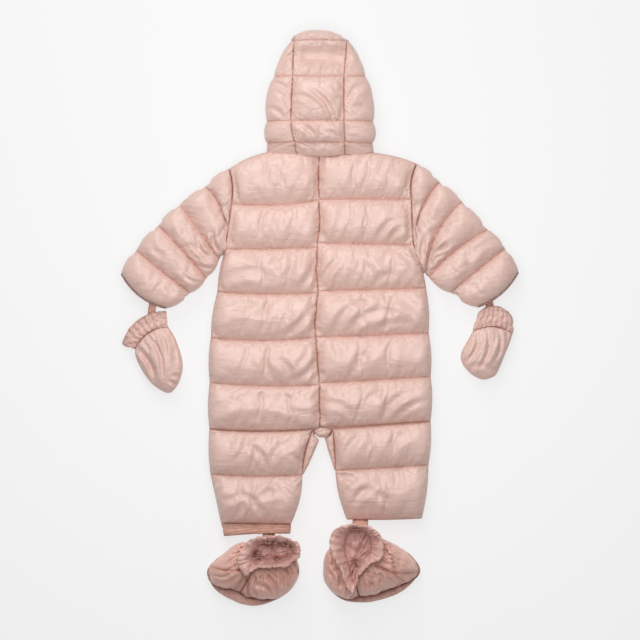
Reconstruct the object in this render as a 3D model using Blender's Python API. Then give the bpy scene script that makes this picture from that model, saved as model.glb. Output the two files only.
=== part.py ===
"""A baby's padded snowsuit with its hood, mittens and booties, laid face down on a flat surface.

The back is up (+Z), the hood points to +Y, and +X is to the right as one looks down on it. Each piece is the
padded wall that it is when worn: an outer face that swells between quilt lines and an inner face, with the
hollow of the suit pressed almost shut between the two layers. All sizes are in metres.
"""

import math
from collections import namedtuple

import bmesh
import bpy

# Cloth, filling and seams
SEAM_GAP = 0.0003  # between two pieces that are sewn together
SEAM_THICK = 0.003  # a quilted layer where it is stitched through
PUFF = 0.018  # what the filling adds at the middle of a channel
SMALL_PUFF = 0.013  # the same on the hood and the mittens
SLACK = 0.0015  # half of the gap left between the two layers
EDGE_ROUNDING = 0.024  # how far in from a seam a channel reaches its full height
SIDE_SWELL = 0.003  # how far a channel's end stands out past its quilt lines

# Heights above the surface that the suit lies on
BODY_MIDDLE = 0.019
MITTEN_MIDDLE = 0.0145

# The front opening
ZIP_X = -0.0025
ZIP_HALF = 0.011
ZIP_TOP_Y = 0.236
ZIP_END_Y = -0.1565
FRONT_CROTCH_HALF = 0.004

# How finely the faces are divided
ROWS_PER_CHANNEL = 3
NARROWEST_CHANNEL = 0.005  # lines nearer to each other than this have no filling between them
COLUMN_SHARES = (0, 0.05, 0.15, 0.4, 0.65, 0.86, 0.95, 1)
KNEE_SHARE = 0.4

CENTRE_BACK_X = -0.0025

# The zip's chain, its slider and the slider's hinged pull
CHAIN_HALF = 0.003
TAPE_HIGH = 0.0180
TAPE_LOW = 0.0165
CHAIN_LOW = 0.0145
SLIDER_LOW = 0.0105
OVERLAP = 0.001  # of two solids that are joined
SLIDER_Y = 0.222
SLIDER_HALF = 0.0048
SLIDER_LENGTH = 0.013
LUG_INNER = 0.0023
LUG_OUTER = 0.0036
LUG_HALF = 0.0011
BAR_RADIUS = 0.0006
EYE_RADIUS = 0.0018
EYE_HOLE_RADIUS = 0.0010
EYE_HALF = 0.0018
PULL_PIVOT_Z = 0.0080
PULL_LENGTH = 0.024
PULL_THICK = 0.0012
ROD_SIDES = 12

# Bands and tabs
TAB_THICK = 0.002

# A tab that holds a mitten or a bootie: half its width and the middle of it at a few points.
Tab = namedtuple("Tab", "name half_width points")

TABS = (
    Tab(
        "mitten_tab_left",
        0.0055,
        ((-0.240, 0.041, 0.019), (-0.243, 0.025, 0.019), (-0.246, 0.002, 0.0145), (-0.247, -0.012, 0.0145)),
    ),
    Tab(
        "mitten_tab_right",
        0.003,
        ((0.242, 0.040, 0.019), (0.245, 0.021, 0.019), (0.2465, 0.0135, 0.0145), (0.247, 0.006, 0.0145)),
    ),
    Tab("bootie_tab_left", 0.009, ((-0.075, -0.300, 0.019), (-0.075, -0.3305, 0.019))),
    Tab(
        "bootie_tab_right",
        0.011,
        ((0.058, -0.280, 0.019), (0.058, -0.292, 0.019), (0.058, -0.302, 0.034), (0.058, -0.3085, 0.050)),
    ),
)

BINDING_WIDTH = 0.006
BINDING_THICK = 0.003
BINDING_LIFT = 0.0004
ANKLE_BAND_ROWS = ((0.0, 0.0), (0.35, 0.55), (0.75, 0.6), (1.0, 0.35))  # share of its depth, fullness
ANKLE_BAND_OUTER = ((-0.1450, -0.2968), (-0.1400, -0.3145))  # its two side edges, from the hem down
ANKLE_BAND_INNER = ((-0.0430, -0.2975), (-0.0437, -0.3105))

SHELL = ("shell_satin", (0.72, 0.49, 0.42), 0.38, 0.0)
BAND = ("band_satin", (0.70, 0.46, 0.39), 0.42, 0.0)
TAPE = ("zip_tape", (0.68, 0.45, 0.39), 0.85, 0.0)
METAL = ("zip_metal", (0.60, 0.58, 0.56), 0.35, 1.0)

# A quilt line of the body, from its side edge through a knee at KNEE_SHARE of its length to its inner edge.
# The two swells belong to the channel below the line: how far its two ends stand out.
Line = namedtuple("Line", "name outer knee inner outer_swell inner_swell")

LEFT_LINES = (
    Line("neck", (-0.132, 0.218), (-0.080, 0.240), (CENTRE_BACK_X, 0.238), -0.004, 0.0),
    Line("shoulder", (-0.128, 0.167), (-0.069, 0.165), (CENTRE_BACK_X, 0.173), 0.0, 0.0),
    Line("chest", (-0.141, 0.098), (-0.085, 0.102), (CENTRE_BACK_X, 0.104), SIDE_SWELL, 0.0),
    Line("waist", (-0.149, 0.039), (-0.090, 0.036), (CENTRE_BACK_X, 0.038), SIDE_SWELL, 0.0),
    Line("hip", (-0.159, -0.028), (-0.100, -0.031), (CENTRE_BACK_X, -0.026), SIDE_SWELL, 0.0),
    Line("seat", (-0.161, -0.092), (-0.100, -0.096), (CENTRE_BACK_X, -0.095), SIDE_SWELL, 0.0),
    Line("thigh", (-0.161, -0.159), (-0.095, -0.161), (CENTRE_BACK_X, -0.158), 0.0, 0.0),
    Line("crotch", (-0.161, -0.1605), (-0.095, -0.1625), (-0.011, -0.1605), SIDE_SWELL, -0.004),
    Line("knee", (-0.160, -0.225), (-0.090, -0.228), (-0.026, -0.226), 0.0, 0.003),
    Line("hem", (-0.145, -0.295), (-0.102, -0.296), (-0.042, -0.296), 0.0, 0.0),
)
RIGHT_LINES = (
    Line("neck", (0.139, 0.225), (0.079, 0.240), (CENTRE_BACK_X, 0.238), -0.006, 0.0),
    Line("shoulder", (0.131, 0.173), (0.070, 0.173), (CENTRE_BACK_X, 0.173), 0.0, 0.0),
    Line("chest", (0.134, 0.107), (0.070, 0.108), (CENTRE_BACK_X, 0.108), SIDE_SWELL, 0.0),
    Line("waist", (0.153, 0.045), (0.090, 0.043), (CENTRE_BACK_X, 0.041), SIDE_SWELL, 0.0),
    Line("hip", (0.157, -0.020), (0.100, -0.024), (CENTRE_BACK_X, -0.026), SIDE_SWELL, 0.0),
    Line("seat", (0.160, -0.083), (0.100, -0.088), (CENTRE_BACK_X, -0.093), SIDE_SWELL, 0.0),
    Line("thigh", (0.160, -0.148), (0.100, -0.153), (CENTRE_BACK_X, -0.157), 0.0, 0.0),
    Line("crotch", (0.160, -0.1495), (0.100, -0.1545), (0.018, -0.1605), SIDE_SWELL, 0.001),
    Line("knee", (0.157, -0.212), (0.100, -0.216), (0.022, -0.220), 0.0, 0.002),
    Line("hem", (0.147, -0.289), (0.100, -0.290), (0.038, -0.290), 0.0, 0.0),
)
LEFT_ARMHOLE_ROWS = 7  # rows of the body's grid from the shoulder point to the underarm
RIGHT_ARMHOLE_ROWS = 9

# A quilt line of a sleeve, from its upper edge to its lower edge, both in plan.
SleeveLine = namedtuple("SleeveLine", "name upper lower")

LEFT_SLEEVE = (
    SleeveLine("cap", (-0.167, 0.191), (-0.147, 0.087)),
    SleeveLine("upper", (-0.203, 0.165), (-0.152, 0.076)),
    SleeveLine("elbow", (-0.235, 0.135), (-0.166, 0.058)),
    SleeveLine("lower", (-0.267, 0.099), (-0.190, 0.037)),
    SleeveLine("cuff", (-0.288, 0.068), (-0.221, 0.017)),
)
RIGHT_SLEEVE = (
    SleeveLine("cap", (0.173, 0.198), (0.154, 0.062)),
    SleeveLine("upper", (0.206, 0.169), (0.158, 0.058)),
    SleeveLine("elbow", (0.243, 0.128), (0.168, 0.051)),
    SleeveLine("lower", (0.267, 0.101), (0.190, 0.038)),
    SleeveLine("cuff", (0.287, 0.073), (0.229, 0.020)),
)
SLEEVE_HEM_DEPTH = 0.004
SLEEVE_HEM_PUFF = 0.004

# A section across an inner-leg strip: how many rows of the back's grid it lies below the crotch line, the X
# of the leg's inner edge there, and its fullness.
StripLine = namedtuple("StripLine", "row edge_x fullness")

LEFT_INNER_LEG = (
    StripLine(0.8, -0.0035, 0.0),
    StripLine(1.0, -0.0050, 0.5),
    StripLine(2.0, -0.0135, 0.8),
    StripLine(2.9, -0.0236, 0.0),
)
RIGHT_INNER_LEG = (
    StripLine(0.8, 0.0045, 0.0),
    StripLine(1.0, 0.0055, 0.5),
    StripLine(2.0, 0.0125, 0.8),
    StripLine(2.9, 0.0185, 0.0),
)
GUSSET_TOP_Y = -0.1614
GUSSET_DEPTH = 0.0125
GUSSET_LEFT_X = -0.0110
GUSSET_RIGHT_X = 0.0172
GUSSET_ROWS = ((0.0, 0.0), (0.3, 0.5), (0.65, 0.6), (1.0, 0.0))  # share of its depth, fullness
GUSSET_ROUNDNESS = 0.97  # 1 would bring its lower end to a point

# A quilt line of the hood: where it lies, how wide the hood is there, where the two long seams cross it, half
# the width of the face opening below it, and how high the hood stands.
HoodLine = namedtuple("HoodLine", "name y left left_seam right_seam right face top")

HOOD_LINES = (
    HoodLine("neck", 0.2403, 0.079, 0.034, 0.035, 0.079, 0.040, 0.030),
    HoodLine("nape", 0.256, 0.079, 0.038, 0.035, 0.079, 0.042, 0.044),
    HoodLine("back", 0.286, 0.079, 0.042, 0.034, 0.077, 0.044, 0.058),
    HoodLine("crown", 0.350, 0.067, 0.040, 0.034, 0.064, 0.043, 0.056),
    HoodLine("top", 0.396, 0.044, 0.039, 0.037, 0.042, 0.0397, 0.044),
)
HOOD_SQUARENESS = 2.5  # of its section: 2 is an ellipse
HOOD_SWELL = 0.0025  # how far a channel of the hood stands out at the sides
HOOD_SIDE_COLUMNS = 8
HOOD_CENTRE_COLUMNS = 6
HOOD_END = 0.019  # how far the crown reaches past the top line
HOOD_END_STEPS = 4
HOOD_END_PUFF = 0.004  # what the filling adds to the wall at the end of the crown
HOOD_SIDE_LIP = 0.0015  # how far the crown's side stands off its seam at the brim and the top line
HOOD_SEAM_REACH = 0.012  # how far in from a long seam the centre panel reaches its full height
HOOD_SEAM_DROP = 0.3  # share of the filling that the centre panel loses at its long seams

# A section across a mitten, in plan, from the cuff's free edge to the finger end.
MittenLine = namedtuple("MittenLine", "name one other fullness")

LEFT_MITTEN_HAND = (
    MittenLine("wrist", (-0.222, -0.014), (-0.268, -0.045), 0.15),
    MittenLine("palm", (-0.211, -0.028), (-0.266, -0.061), 0.9),
    MittenLine("knuckle", (-0.202, -0.052), (-0.256, -0.079), 1.0),
    MittenLine("finger", (-0.202, -0.074), (-0.245, -0.093), 0.9),
    MittenLine("tip", (-0.208, -0.093), (-0.233, -0.103), 0.55),
    MittenLine("end", (-0.215, -0.104), (-0.223, -0.107), 0.0),
)
LEFT_MITTEN_CUFF = (
    MittenLine("free edge", (-0.223, 0.010), (-0.286, -0.034), 0.6),
    MittenLine("middle", (-0.220, -0.001), (-0.279, -0.042), 0.75),
    MittenLine("wrist", (-0.2225, -0.0125), (-0.269, -0.0437), 0.15),
)
RIGHT_MITTEN_HAND = (
    MittenLine("wrist", (0.279, -0.014), (0.223, -0.014), 0.15),
    MittenLine("palm", (0.276, -0.031), (0.216, -0.029), 0.9),
    MittenLine("knuckle", (0.269, -0.049), (0.205, -0.050), 1.0),
    MittenLine("finger", (0.260, -0.066), (0.207, -0.067), 0.9),
    MittenLine("tip", (0.254, -0.080), (0.221, -0.082), 0.55),
    MittenLine("end", (0.243, -0.087), (0.231, -0.087), 0.0),
)
RIGHT_MITTEN_CUFF = (
    MittenLine("free edge", (0.263, 0.012), (0.231, 0.010), 0.6),
    MittenLine("middle", (0.273, 0.003), (0.226, 0.001), 0.75),
    MittenLine("wrist", (0.279, -0.0125), (0.223, -0.0125), 0.15),
)
MITTEN_SHARES = (0, 0.08, 0.25, 0.5, 0.75, 0.92, 1)

# A level of a bootie: its height, how far it has moved from the foot's outline to the mouth's, and its scale.
BootieLevel = namedtuple("BootieLevel", "name height towards_mouth scale")

BOOTIE_LEVELS = (
    BootieLevel("sole seam", 0.0043, 0.0, 0.92),
    BootieLevel("widest", 0.014, 0.0, 1.0),
    BootieLevel("instep", 0.028, 0.12, 0.98),
    BootieLevel("ankle", 0.041, 0.50, 0.96),
    BootieLevel("neck", 0.049, 0.88, 1.0),
)
BOOTIE_CUFF_LEVELS = (
    BootieLevel("gathers", 0.0495, 0.93, 1.0),
    BootieLevel("flare", 0.057, 0.97, 1.06),
    BootieLevel("free edge", 0.066, 1.0, 1.12),
)
BOOTIE_WALL = 0.008
BOOTIE_INNER_DROP = 0.004  # how much lower the inner face is at the mouth
BOOTIE_CUFF_WALL = 0.003
SOLE_THICK = 0.004
BOOTIE_SPOKES = 20
BOOTIE_SEAM_SHARE = 0.03  # of a spoke, between two pieces of an upper
BOOTIE_EDGE_SHARE = 0.5  # of the wall, where it is sewn to the sole and to the cuff
CUFF_RIPPLE = 0.0015
CUFF_RIPPLE_TURN = 1.2  # half turns of the cuff's ripple from a spoke to the next
SOLE_SCALE = 0.92

# A bootie: the middle and half sizes of its foot and of its mouth, and the direction of its toe in degrees.
Bootie = namedtuple("Bootie", "side foot foot_half mouth mouth_half toe")

BOOTIES = (
    Bootie("left", (-0.098, -0.373), (0.066, 0.043), (-0.071, -0.345), (0.034, 0.025), 196),
    Bootie("right", (0.075, -0.368), (0.069, 0.044), (0.056, -0.348), (0.033, 0.034), -16),
)
# The seams of a bootie's upper, as spokes counted from the toe: where each piece starts and ends.
BOOTIE_PIECES = (("toe", -4, 4), ("outer", 4, 10), ("inner", 10, 16))


def clear_scene():
    for thing in list(bpy.data.objects):
        bpy.data.objects.remove(thing, do_unlink=True)


def finish_of(kind):
    """The material of a kind of cloth or metal, made once."""
    name, colour, roughness, metallic = kind
    material = bpy.data.materials.get(name)
    if material is None:
        material = bpy.data.materials.new(name)
        material.use_nodes = True
        shader = material.node_tree.nodes["Principled BSDF"]
        shader.inputs["Base Color"].default_value = (*colour, 1)
        shader.inputs["Roughness"].default_value = roughness
        shader.inputs["Metallic"].default_value = metallic
    return material


def add_object(name, points, faces, kind):
    """An object from points and faces, with its faces turned to point out."""
    mesh = bpy.data.meshes.new(name)
    mesh.from_pydata(points, [], faces)
    shape = bmesh.new()
    shape.from_mesh(mesh)
    bmesh.ops.recalc_face_normals(shape, faces=shape.faces)
    if shape.calc_volume(signed=True) < 0:
        bmesh.ops.reverse_faces(shape, faces=shape.faces)
    shape.to_mesh(mesh)
    shape.free()
    mesh.materials.append(finish_of(kind))
    piece = bpy.data.objects.new(name, mesh)
    bpy.context.scene.collection.objects.link(piece)
    return piece


def wall(name, outside, inside, kind, wrapped=False):
    """A closed body between two grids of points that have the same rows and columns.

    A wrapped grid is a tube, so each row meets its own start.
    """
    rows = len(outside)
    columns = len(outside[0])
    points = [point for grid in (outside, inside) for row in grid for point in row]
    spans = columns if wrapped else columns - 1

    def outer(row, column):
        return row * columns + column % columns

    def inner(row, column):
        return rows * columns + outer(row, column)

    faces = []
    for row in range(rows - 1):
        for column in range(spans):
            for side in (outer, inner):
                near = side(row, column), side(row, column + 1)
                far = side(row + 1, column + 1), side(row + 1, column)
                faces.append((*near, *far))
    for row in (0, rows - 1):
        for column in range(spans):
            outer_edge = outer(row, column), outer(row, column + 1)
            inner_edge = inner(row, column + 1), inner(row, column)
            faces.append((*outer_edge, *inner_edge))
    if not wrapped:
        for column in (0, columns - 1):
            for row in range(rows - 1):
                outer_edge = outer(row, column), outer(row + 1, column)
                inner_edge = inner(row + 1, column), inner(row, column)
                faces.append((*outer_edge, *inner_edge))
    return add_object(name, points, faces, kind)


def between(one, other, share):
    """The point at a share of the way from one point to another."""
    return tuple(a + (b - a) * share for a, b in zip(one, other))


def arch(share):
    """How full a channel is between two quilt lines: 0 on a line, 1 at the middle, with steep flanks."""
    return math.sin(math.pi * share) ** 0.6


def rounding(distance, reach=EDGE_ROUNDING):
    """How much of its height a channel has at a distance from a seam: a quarter of a circle."""
    if distance >= reach:
        return 1.0
    return math.sqrt(1 - (1 - max(distance, 0) / reach) ** 2)


def outward(line):
    """-1 on the left half of the suit, 1 on the right."""
    return math.copysign(1, line.outer[0])


def body_rows(lines):
    """The rows of a body panel from neck to hem, as (points in plan, fullness)."""
    rows = []
    for upper, lower in zip(lines, lines[1:]):
        steps = ROWS_PER_CHANNEL if math.dist(upper.outer, lower.outer) > NARROWEST_CHANNEL else 1
        for step in range(steps):
            share = step / steps
            swell = math.sin(math.pi * share) * outward(upper)
            outer = between(upper.outer, lower.outer, share)
            knee = between(upper.knee, lower.knee, share)
            inner = between(upper.inner, lower.inner, share)
            outer = (outer[0] + swell * upper.outer_swell, outer[1])
            inner = (inner[0] - swell * upper.inner_swell, inner[1])
            rows.append((line_points(outer, knee, inner), arch(share)))
    last = lines[-1]
    rows.append((line_points(last.outer, last.knee, last.inner), 0.0))
    return rows


def line_points(outer, knee, inner):
    """Points along a line with a knee, at COLUMN_SHARES."""
    points = []
    for share in COLUMN_SHARES:
        if share <= KNEE_SHARE:
            points.append(between(outer, knee, share / KNEE_SHARE))
        else:
            points.append(between(knee, inner, (share - KNEE_SHARE) / (1 - KNEE_SHARE)))
    return points


def layer_heights(middle, up, puff, fullness, edge):
    """The heights of a layer's inner and outer face; the lower layer is flat where it rests."""
    inner = SEAM_GAP / 2 + SLACK * edge
    outer = inner + SEAM_THICK + puff * fullness * edge
    if up:
        return middle + inner, middle + outer
    return middle - inner, max(0.0, middle - outer)


def layer(name, rows, middle, up, puff, kind):
    """A quilted layer over rows of points in plan: its seam edges thin, its channels full."""
    outside = []
    inside = []
    for points, fullness in rows:
        outside.append([])
        inside.append([])
        for point in points:
            edge = rounding(min(math.dist(point, points[0]), math.dist(point, points[-1])))
            low, high = layer_heights(middle, up, puff, fullness, edge)
            inside[-1].append((*point, low))
            outside[-1].append((*point, high))
    return wall(name, outside, inside, kind)


def moved_in(rows, first, last):
    """Rows with their two end points moved along X, to keep the gap at a seam."""
    moved = []
    for points, fullness in rows:
        start = (points[0][0] + first, points[0][1])
        end = (points[-1][0] + last, points[-1][1])
        moved.append(([start, *points[1:-1], end], fullness))
    return moved


def front_lines(lines):
    """The lines of the front: those of the back, ending at the zip above the legs."""
    side = outward(lines[0])
    fronts = []
    for line in lines:
        inner = line.inner
        inner_swell = line.inner_swell
        if line.name == "crotch":
            inner = (ZIP_X + side * FRONT_CROTCH_HALF, line.inner[1])
            inner_swell = FRONT_CROTCH_HALF
        elif line.name not in ("knee", "hem"):
            inner = (ZIP_X + side * (ZIP_HALF + SEAM_GAP), line.inner[1])
        fronts.append(line._replace(inner=inner, inner_swell=inner_swell))
    return fronts


def make_body():
    half = SEAM_GAP / 2
    for side, lines in (("left", LEFT_LINES), ("right", RIGHT_LINES)):
        sign = outward(lines[0])
        back = moved_in(body_rows(lines), 0, sign * half)
        layer(f"back_{side}", back, BODY_MIDDLE, True, PUFF, SHELL)
        front = moved_in(body_rows(front_lines(lines)), 0, sign * half)
        layer(f"front_{side}", front, BODY_MIDDLE, False, PUFF, SHELL)


def tube_ring(points, middle, puff, fullness, wall_thick=SEAM_THICK):
    """A flattened ring over a row of points in plan: its outer points and, inside them, its inner points."""
    width = math.dist(points[0], points[-1])
    inset = min(0.45, 1.5 * wall_thick / width)
    outer = []
    inner = []
    for up in (1, -1):
        ordered = points if up == 1 else points[::-1]
        for point in ordered[:-1]:
            edge = rounding(min(math.dist(point, points[0]), math.dist(point, points[-1])))
            height = (SLACK + wall_thick + puff * fullness) * edge
            slit = SLACK * edge
            outer.append((*point, max(0.0, middle + up * height)))
            near = between(point, between(points[0], points[-1], 0.5), 2 * inset)
            inner.append((*near, middle + up * slit))
    return outer, inner


def sleeve_rows(armhole, lines):
    """The rows of a sleeve from its armhole to its cuff, as (points in plan, fullness)."""
    count = len(armhole) - 1
    rows = [armhole]
    for line in lines:
        rows.append([between(line.upper, line.lower, round_share(step / count)) for step in range(count + 1)])
    filled = []
    for upper, lower in zip(rows, rows[1:]):
        for step in range(ROWS_PER_CHANNEL):
            share = step / ROWS_PER_CHANNEL
            filled.append(([between(a, b, share) for a, b in zip(upper, lower)], arch(share)))
    filled.append((rows[-1], 0.0))
    return filled


def round_share(share):
    """Moves evenly spaced shares towards both ends, where a tube's section bends most."""
    return 0.5 - 0.5 * math.cos(math.pi * share)


def tube(name, rows, middle, puff, kind, wall_thick=SEAM_THICK):
    outside = []
    inside = []
    for points, fullness in rows:
        outer, inner = tube_ring(points, middle, puff, fullness, wall_thick)
        outside.append(outer)
        inside.append(inner)
    return wall(name, outside, inside, kind, wrapped=True)


def make_sleeve(side, lines, body_lines, armhole_rows):
    sign = outward(body_lines[0])
    armhole = [points[0] for points, _ in body_rows(body_lines)[:armhole_rows]]
    armhole = [(x + sign * SEAM_GAP, y) for x, y in armhole]
    rows = sleeve_rows(armhole, lines)
    tube(f"sleeve_{side}", rows, BODY_MIDDLE, PUFF, SHELL)
    cuff = rows[-1][0]
    down = math.dist(lines[-2].upper, lines[-1].upper)
    step = between((0, 0), tuple(b - a for a, b in zip(lines[-2].upper, lines[-1].upper)), 1 / down)
    hem = []
    for depth, fullness in ((SEAM_GAP, 0.0), (SLEEVE_HEM_DEPTH / 2, 0.8), (SLEEVE_HEM_DEPTH, 0.2)):
        hem.append(([(x + step[0] * depth, y + step[1] * depth) for x, y in cuff], fullness))
    tube(f"sleeve_hem_{side}", hem, BODY_MIDDLE, SLEEVE_HEM_PUFF, BAND)


def make_gusset():
    """The half-round insert at the crotch."""
    half = (GUSSET_RIGHT_X - GUSSET_LEFT_X) / 2
    rows = []
    for share, fullness in GUSSET_ROWS:
        inset = half * (1 - math.sqrt(1 - (GUSSET_ROUNDNESS * share) ** 2))
        y = GUSSET_TOP_Y - GUSSET_DEPTH * share
        ends = (GUSSET_LEFT_X + inset, y), (GUSSET_RIGHT_X - inset, y)
        rows.append(([between(*ends, part) for part in MITTEN_SHARES], fullness))
    layer("crotch_gusset", rows, BODY_MIDDLE, True, SMALL_PUFF, SHELL)


def make_inner_leg(side, lines, strip):
    """The strip between the back of a leg and its inner edge, from the gusset to the knee."""
    sign = outward(lines[0])
    first = [line.name for line in lines].index("crotch") * ROWS_PER_CHANNEL - (ROWS_PER_CHANNEL - 1)
    edge = [points[-1] for points, _ in body_rows(lines)[first : first + ROWS_PER_CHANNEL + 1]]
    rows = []
    for section in strip:
        start = min(int(section.row), ROWS_PER_CHANNEL - 1)
        x, y = between(edge[start], edge[start + 1], section.row - start)
        ends = (x - sign * SEAM_GAP, y), (section.edge_x, y)
        rows.append(([between(*ends, part) for part in MITTEN_SHARES], section.fullness))
    layer(f"inner_leg_{side}", rows, BODY_MIDDLE, True, SMALL_PUFF, SHELL)


def power(value, exponent):
    """A signed power, for sections squarer than an ellipse."""
    return math.copysign(abs(value) ** exponent, value)


def hood_point(half, top, angle, thick):
    """A point of the hood's section at an angle from the side: a right angle is the top."""
    exponent = 2 / HOOD_SQUARENESS
    across = (half - thick) * power(math.cos(angle), exponent)
    height = top / 2 + (top / 2 - thick) * power(math.sin(angle), exponent)
    return across, height


def angle_at(half, across):
    """The angle at which the section's outer face is a given distance from the middle."""
    return math.acos(min(1.0, across / half) ** (HOOD_SQUARENESS / 2))


def hood_rows():
    """The hood's lines and the rows between them, as (HoodLine of the row, fullness)."""
    rows = []
    for lower, upper in zip(HOOD_LINES, HOOD_LINES[1:]):
        steps = 2 if lower.name == "neck" else ROWS_PER_CHANNEL
        for step in range(steps):
            share = step / steps
            row = HoodLine("row", *between(lower[1:], upper[1:], share))
            swell = HOOD_SWELL * math.sin(math.pi * share) * (steps == ROWS_PER_CHANNEL)
            rows.append((row._replace(left=row.left + swell, right=row.right + swell), arch(share)))
    rows.append((HOOD_LINES[-1], 0.0))
    return rows


def hood_end_rows():
    """Rows past the top line, where the crown turns down: (distance past it, height share)."""
    rows = []
    for step in range(1, HOOD_END_STEPS):
        angle = math.pi / 2 * (1 - step / HOOD_END_STEPS)
        rows.append((HOOD_END * math.cos(angle), math.sin(angle)))
    return rows


def make_hood_side(side, sign):
    outside = []
    inside = []
    for row, fullness in hood_rows():
        half = row.left if sign < 0 else row.right
        seam = row.left_seam if sign < 0 else row.right_seam
        thick = SEAM_THICK + SMALL_PUFF * fullness
        start = angle_at(half, seam + SEAM_GAP)
        end = -angle_at(half, row.face)
        outside.append([])
        inside.append([])
        for column in range(HOOD_SIDE_COLUMNS + 1):
            angle = start + (end - start) * column / HOOD_SIDE_COLUMNS
            across, height = hood_point(half, row.top, angle, 0)
            outside[-1].append((sign * across, row.y, height))
            across, height = hood_point(half, row.top, angle, thick)
            across = max(across, seam + SEAM_GAP if angle > 0 else row.face)
            inside[-1].append((sign * across, row.y, height))
    last = HOOD_LINES[-1]
    half = last.left if sign < 0 else last.right
    seam = last.left_seam if sign < 0 else last.right_seam
    for past, share in hood_end_rows():
        top = last.top / 2 * share
        outside.append([])
        inside.append([])
        for column in range(HOOD_SIDE_COLUMNS + 1):
            turn = 1 - 2 * column / HOOD_SIDE_COLUMNS
            bulge = (half - seam - SEAM_GAP) * share * math.sqrt(max(0.0, 1 - turn * turn))
            height = last.top / 2 + top * turn
            outside[-1].append((sign * (seam + SEAM_GAP + HOOD_SIDE_LIP + bulge), last.y + past, height))
            inside[-1].append((sign * (seam + SEAM_GAP), last.y + past, height))
    wall(f"hood_{side}", outside, inside, SHELL)


def make_hood_centre():
    outside = []
    inside = []
    for row, fullness in hood_rows():
        outside.append([])
        inside.append([])
        for column in range(HOOD_CENTRE_COLUMNS + 1):
            x = -row.left_seam + (row.left_seam + row.right_seam) * column / HOOD_CENTRE_COLUMNS
            half = row.left if x < 0 else row.right
            _, height = hood_point(half, row.top, angle_at(half, abs(x)), 0)
            edge = rounding(min(x + row.left_seam, row.right_seam - x), HOOD_SEAM_REACH)
            height -= (1 - edge) * SMALL_PUFF * fullness * HOOD_SEAM_DROP
            outside[-1].append((x, row.y, height))
            thick = SEAM_THICK + SMALL_PUFF * fullness * max(HOOD_SEAM_DROP, edge)
            inside[-1].append((x, row.y, height - thick))
    last = HOOD_LINES[-1]
    for step in range(1, 2 * HOOD_END_STEPS + 1):
        share = step / (2 * HOOD_END_STEPS)
        angle = math.pi * (0.5 - share)
        thick = SEAM_THICK + HOOD_END_PUFF * math.sin(math.pi * share)
        outside.append([])
        inside.append([])
        for column in range(HOOD_CENTRE_COLUMNS + 1):
            x = -last.left_seam + (last.left_seam + last.right_seam) * column / HOOD_CENTRE_COLUMNS
            half = last.left if x < 0 else last.right
            _, height = hood_point(half, last.top, angle_at(half, abs(x)), 0)
            lift = height - last.top / 2
            for grid, inset in ((outside, 0.0), (inside, thick)):
                y = last.y + (HOOD_END - inset) * math.cos(angle)
                z = last.top / 2 + (lift - inset) * math.sin(angle)
                grid[-1].append((x, y, z))
    wall("hood_centre", outside, inside, SHELL)


def ring_on(bootie, level, spoke, inset):
    """A point of a bootie in plan, at a level and a spoke, some way in from its outer face."""
    angle = math.radians(bootie.toe) + 2 * math.pi * spoke / BOOTIE_SPOKES
    middle = between(bootie.foot, bootie.mouth, level.towards_mouth)
    half = between(bootie.foot_half, bootie.mouth_half, level.towards_mouth)
    x = middle[0] + (half[0] * level.scale - inset) * math.cos(angle)
    y = middle[1] + (half[1] * level.scale - inset) * math.sin(angle)
    return x, y


def make_bootie(bootie):
    for piece, first, last in BOOTIE_PIECES:
        outside = []
        inside = []
        spokes = [first + BOOTIE_SEAM_SHARE, *range(first + 1, last), last - BOOTIE_SEAM_SHARE]
        for level in BOOTIE_LEVELS:
            sewn = level.name in ("sole seam", "neck")
            thick = BOOTIE_WALL * (BOOTIE_EDGE_SHARE if sewn else 1.0)
            drop = BOOTIE_INNER_DROP * level.towards_mouth
            outside.append([(*ring_on(bootie, level, spoke, 0), level.height) for spoke in spokes])
            inside.append([(*ring_on(bootie, level, spoke, thick), level.height - drop) for spoke in spokes])
        wall(f"bootie_{piece}_{bootie.side}", outside, inside, SHELL)
    outside = []
    inside = []
    for level in BOOTIE_CUFF_LEVELS:
        for grid, inset in ((outside, 0.0), (inside, BOOTIE_CUFF_WALL)):
            row = []
            for spoke in range(BOOTIE_SPOKES):
                ripple = CUFF_RIPPLE * math.sin(spoke * CUFF_RIPPLE_TURN * math.pi)
                row.append((*ring_on(bootie, level, spoke, ripple + inset), level.height))
            grid.append(row)
    wall(f"bootie_cuff_{bootie.side}", outside, inside, BAND, wrapped=True)
    sole = BootieLevel("sole", SOLE_THICK, 0.0, SOLE_SCALE)
    points = []
    for height in (0, SOLE_THICK):
        points += [(*ring_on(bootie, sole, spoke, 0.0), height) for spoke in range(BOOTIE_SPOKES)]
    faces = [tuple(range(BOOTIE_SPOKES)), tuple(range(BOOTIE_SPOKES, 2 * BOOTIE_SPOKES))]
    for spoke in range(BOOTIE_SPOKES):
        after = (spoke + 1) % BOOTIE_SPOKES
        faces.append((spoke, after, BOOTIE_SPOKES + after, BOOTIE_SPOKES + spoke))
    add_object(f"bootie_sole_{bootie.side}", points, faces, SHELL)


def mitten_rows(lines, shares=MITTEN_SHARES):
    return [([between(line.one, line.other, share) for share in shares], line.fullness) for line in lines]


def make_mitten(side, hand, cuff):
    layer(f"mitten_back_{side}", mitten_rows(hand), MITTEN_MIDDLE, True, SMALL_PUFF, SHELL)
    layer(f"mitten_palm_{side}", mitten_rows(hand), MITTEN_MIDDLE, False, SMALL_PUFF, SHELL)
    tube(f"mitten_cuff_{side}", mitten_rows(cuff), MITTEN_MIDDLE, SMALL_PUFF, BAND)


def box(name, low, high, kind):
    corners = [(x, y, z) for x in (low[0], high[0]) for y in (low[1], high[1]) for z in (low[2], high[2])]
    faces = [(0, 1, 3, 2), (4, 6, 7, 5), (0, 4, 5, 1), (2, 3, 7, 6), (0, 2, 6, 4), (1, 5, 7, 3)]
    return add_object(name, corners, faces, kind)


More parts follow.
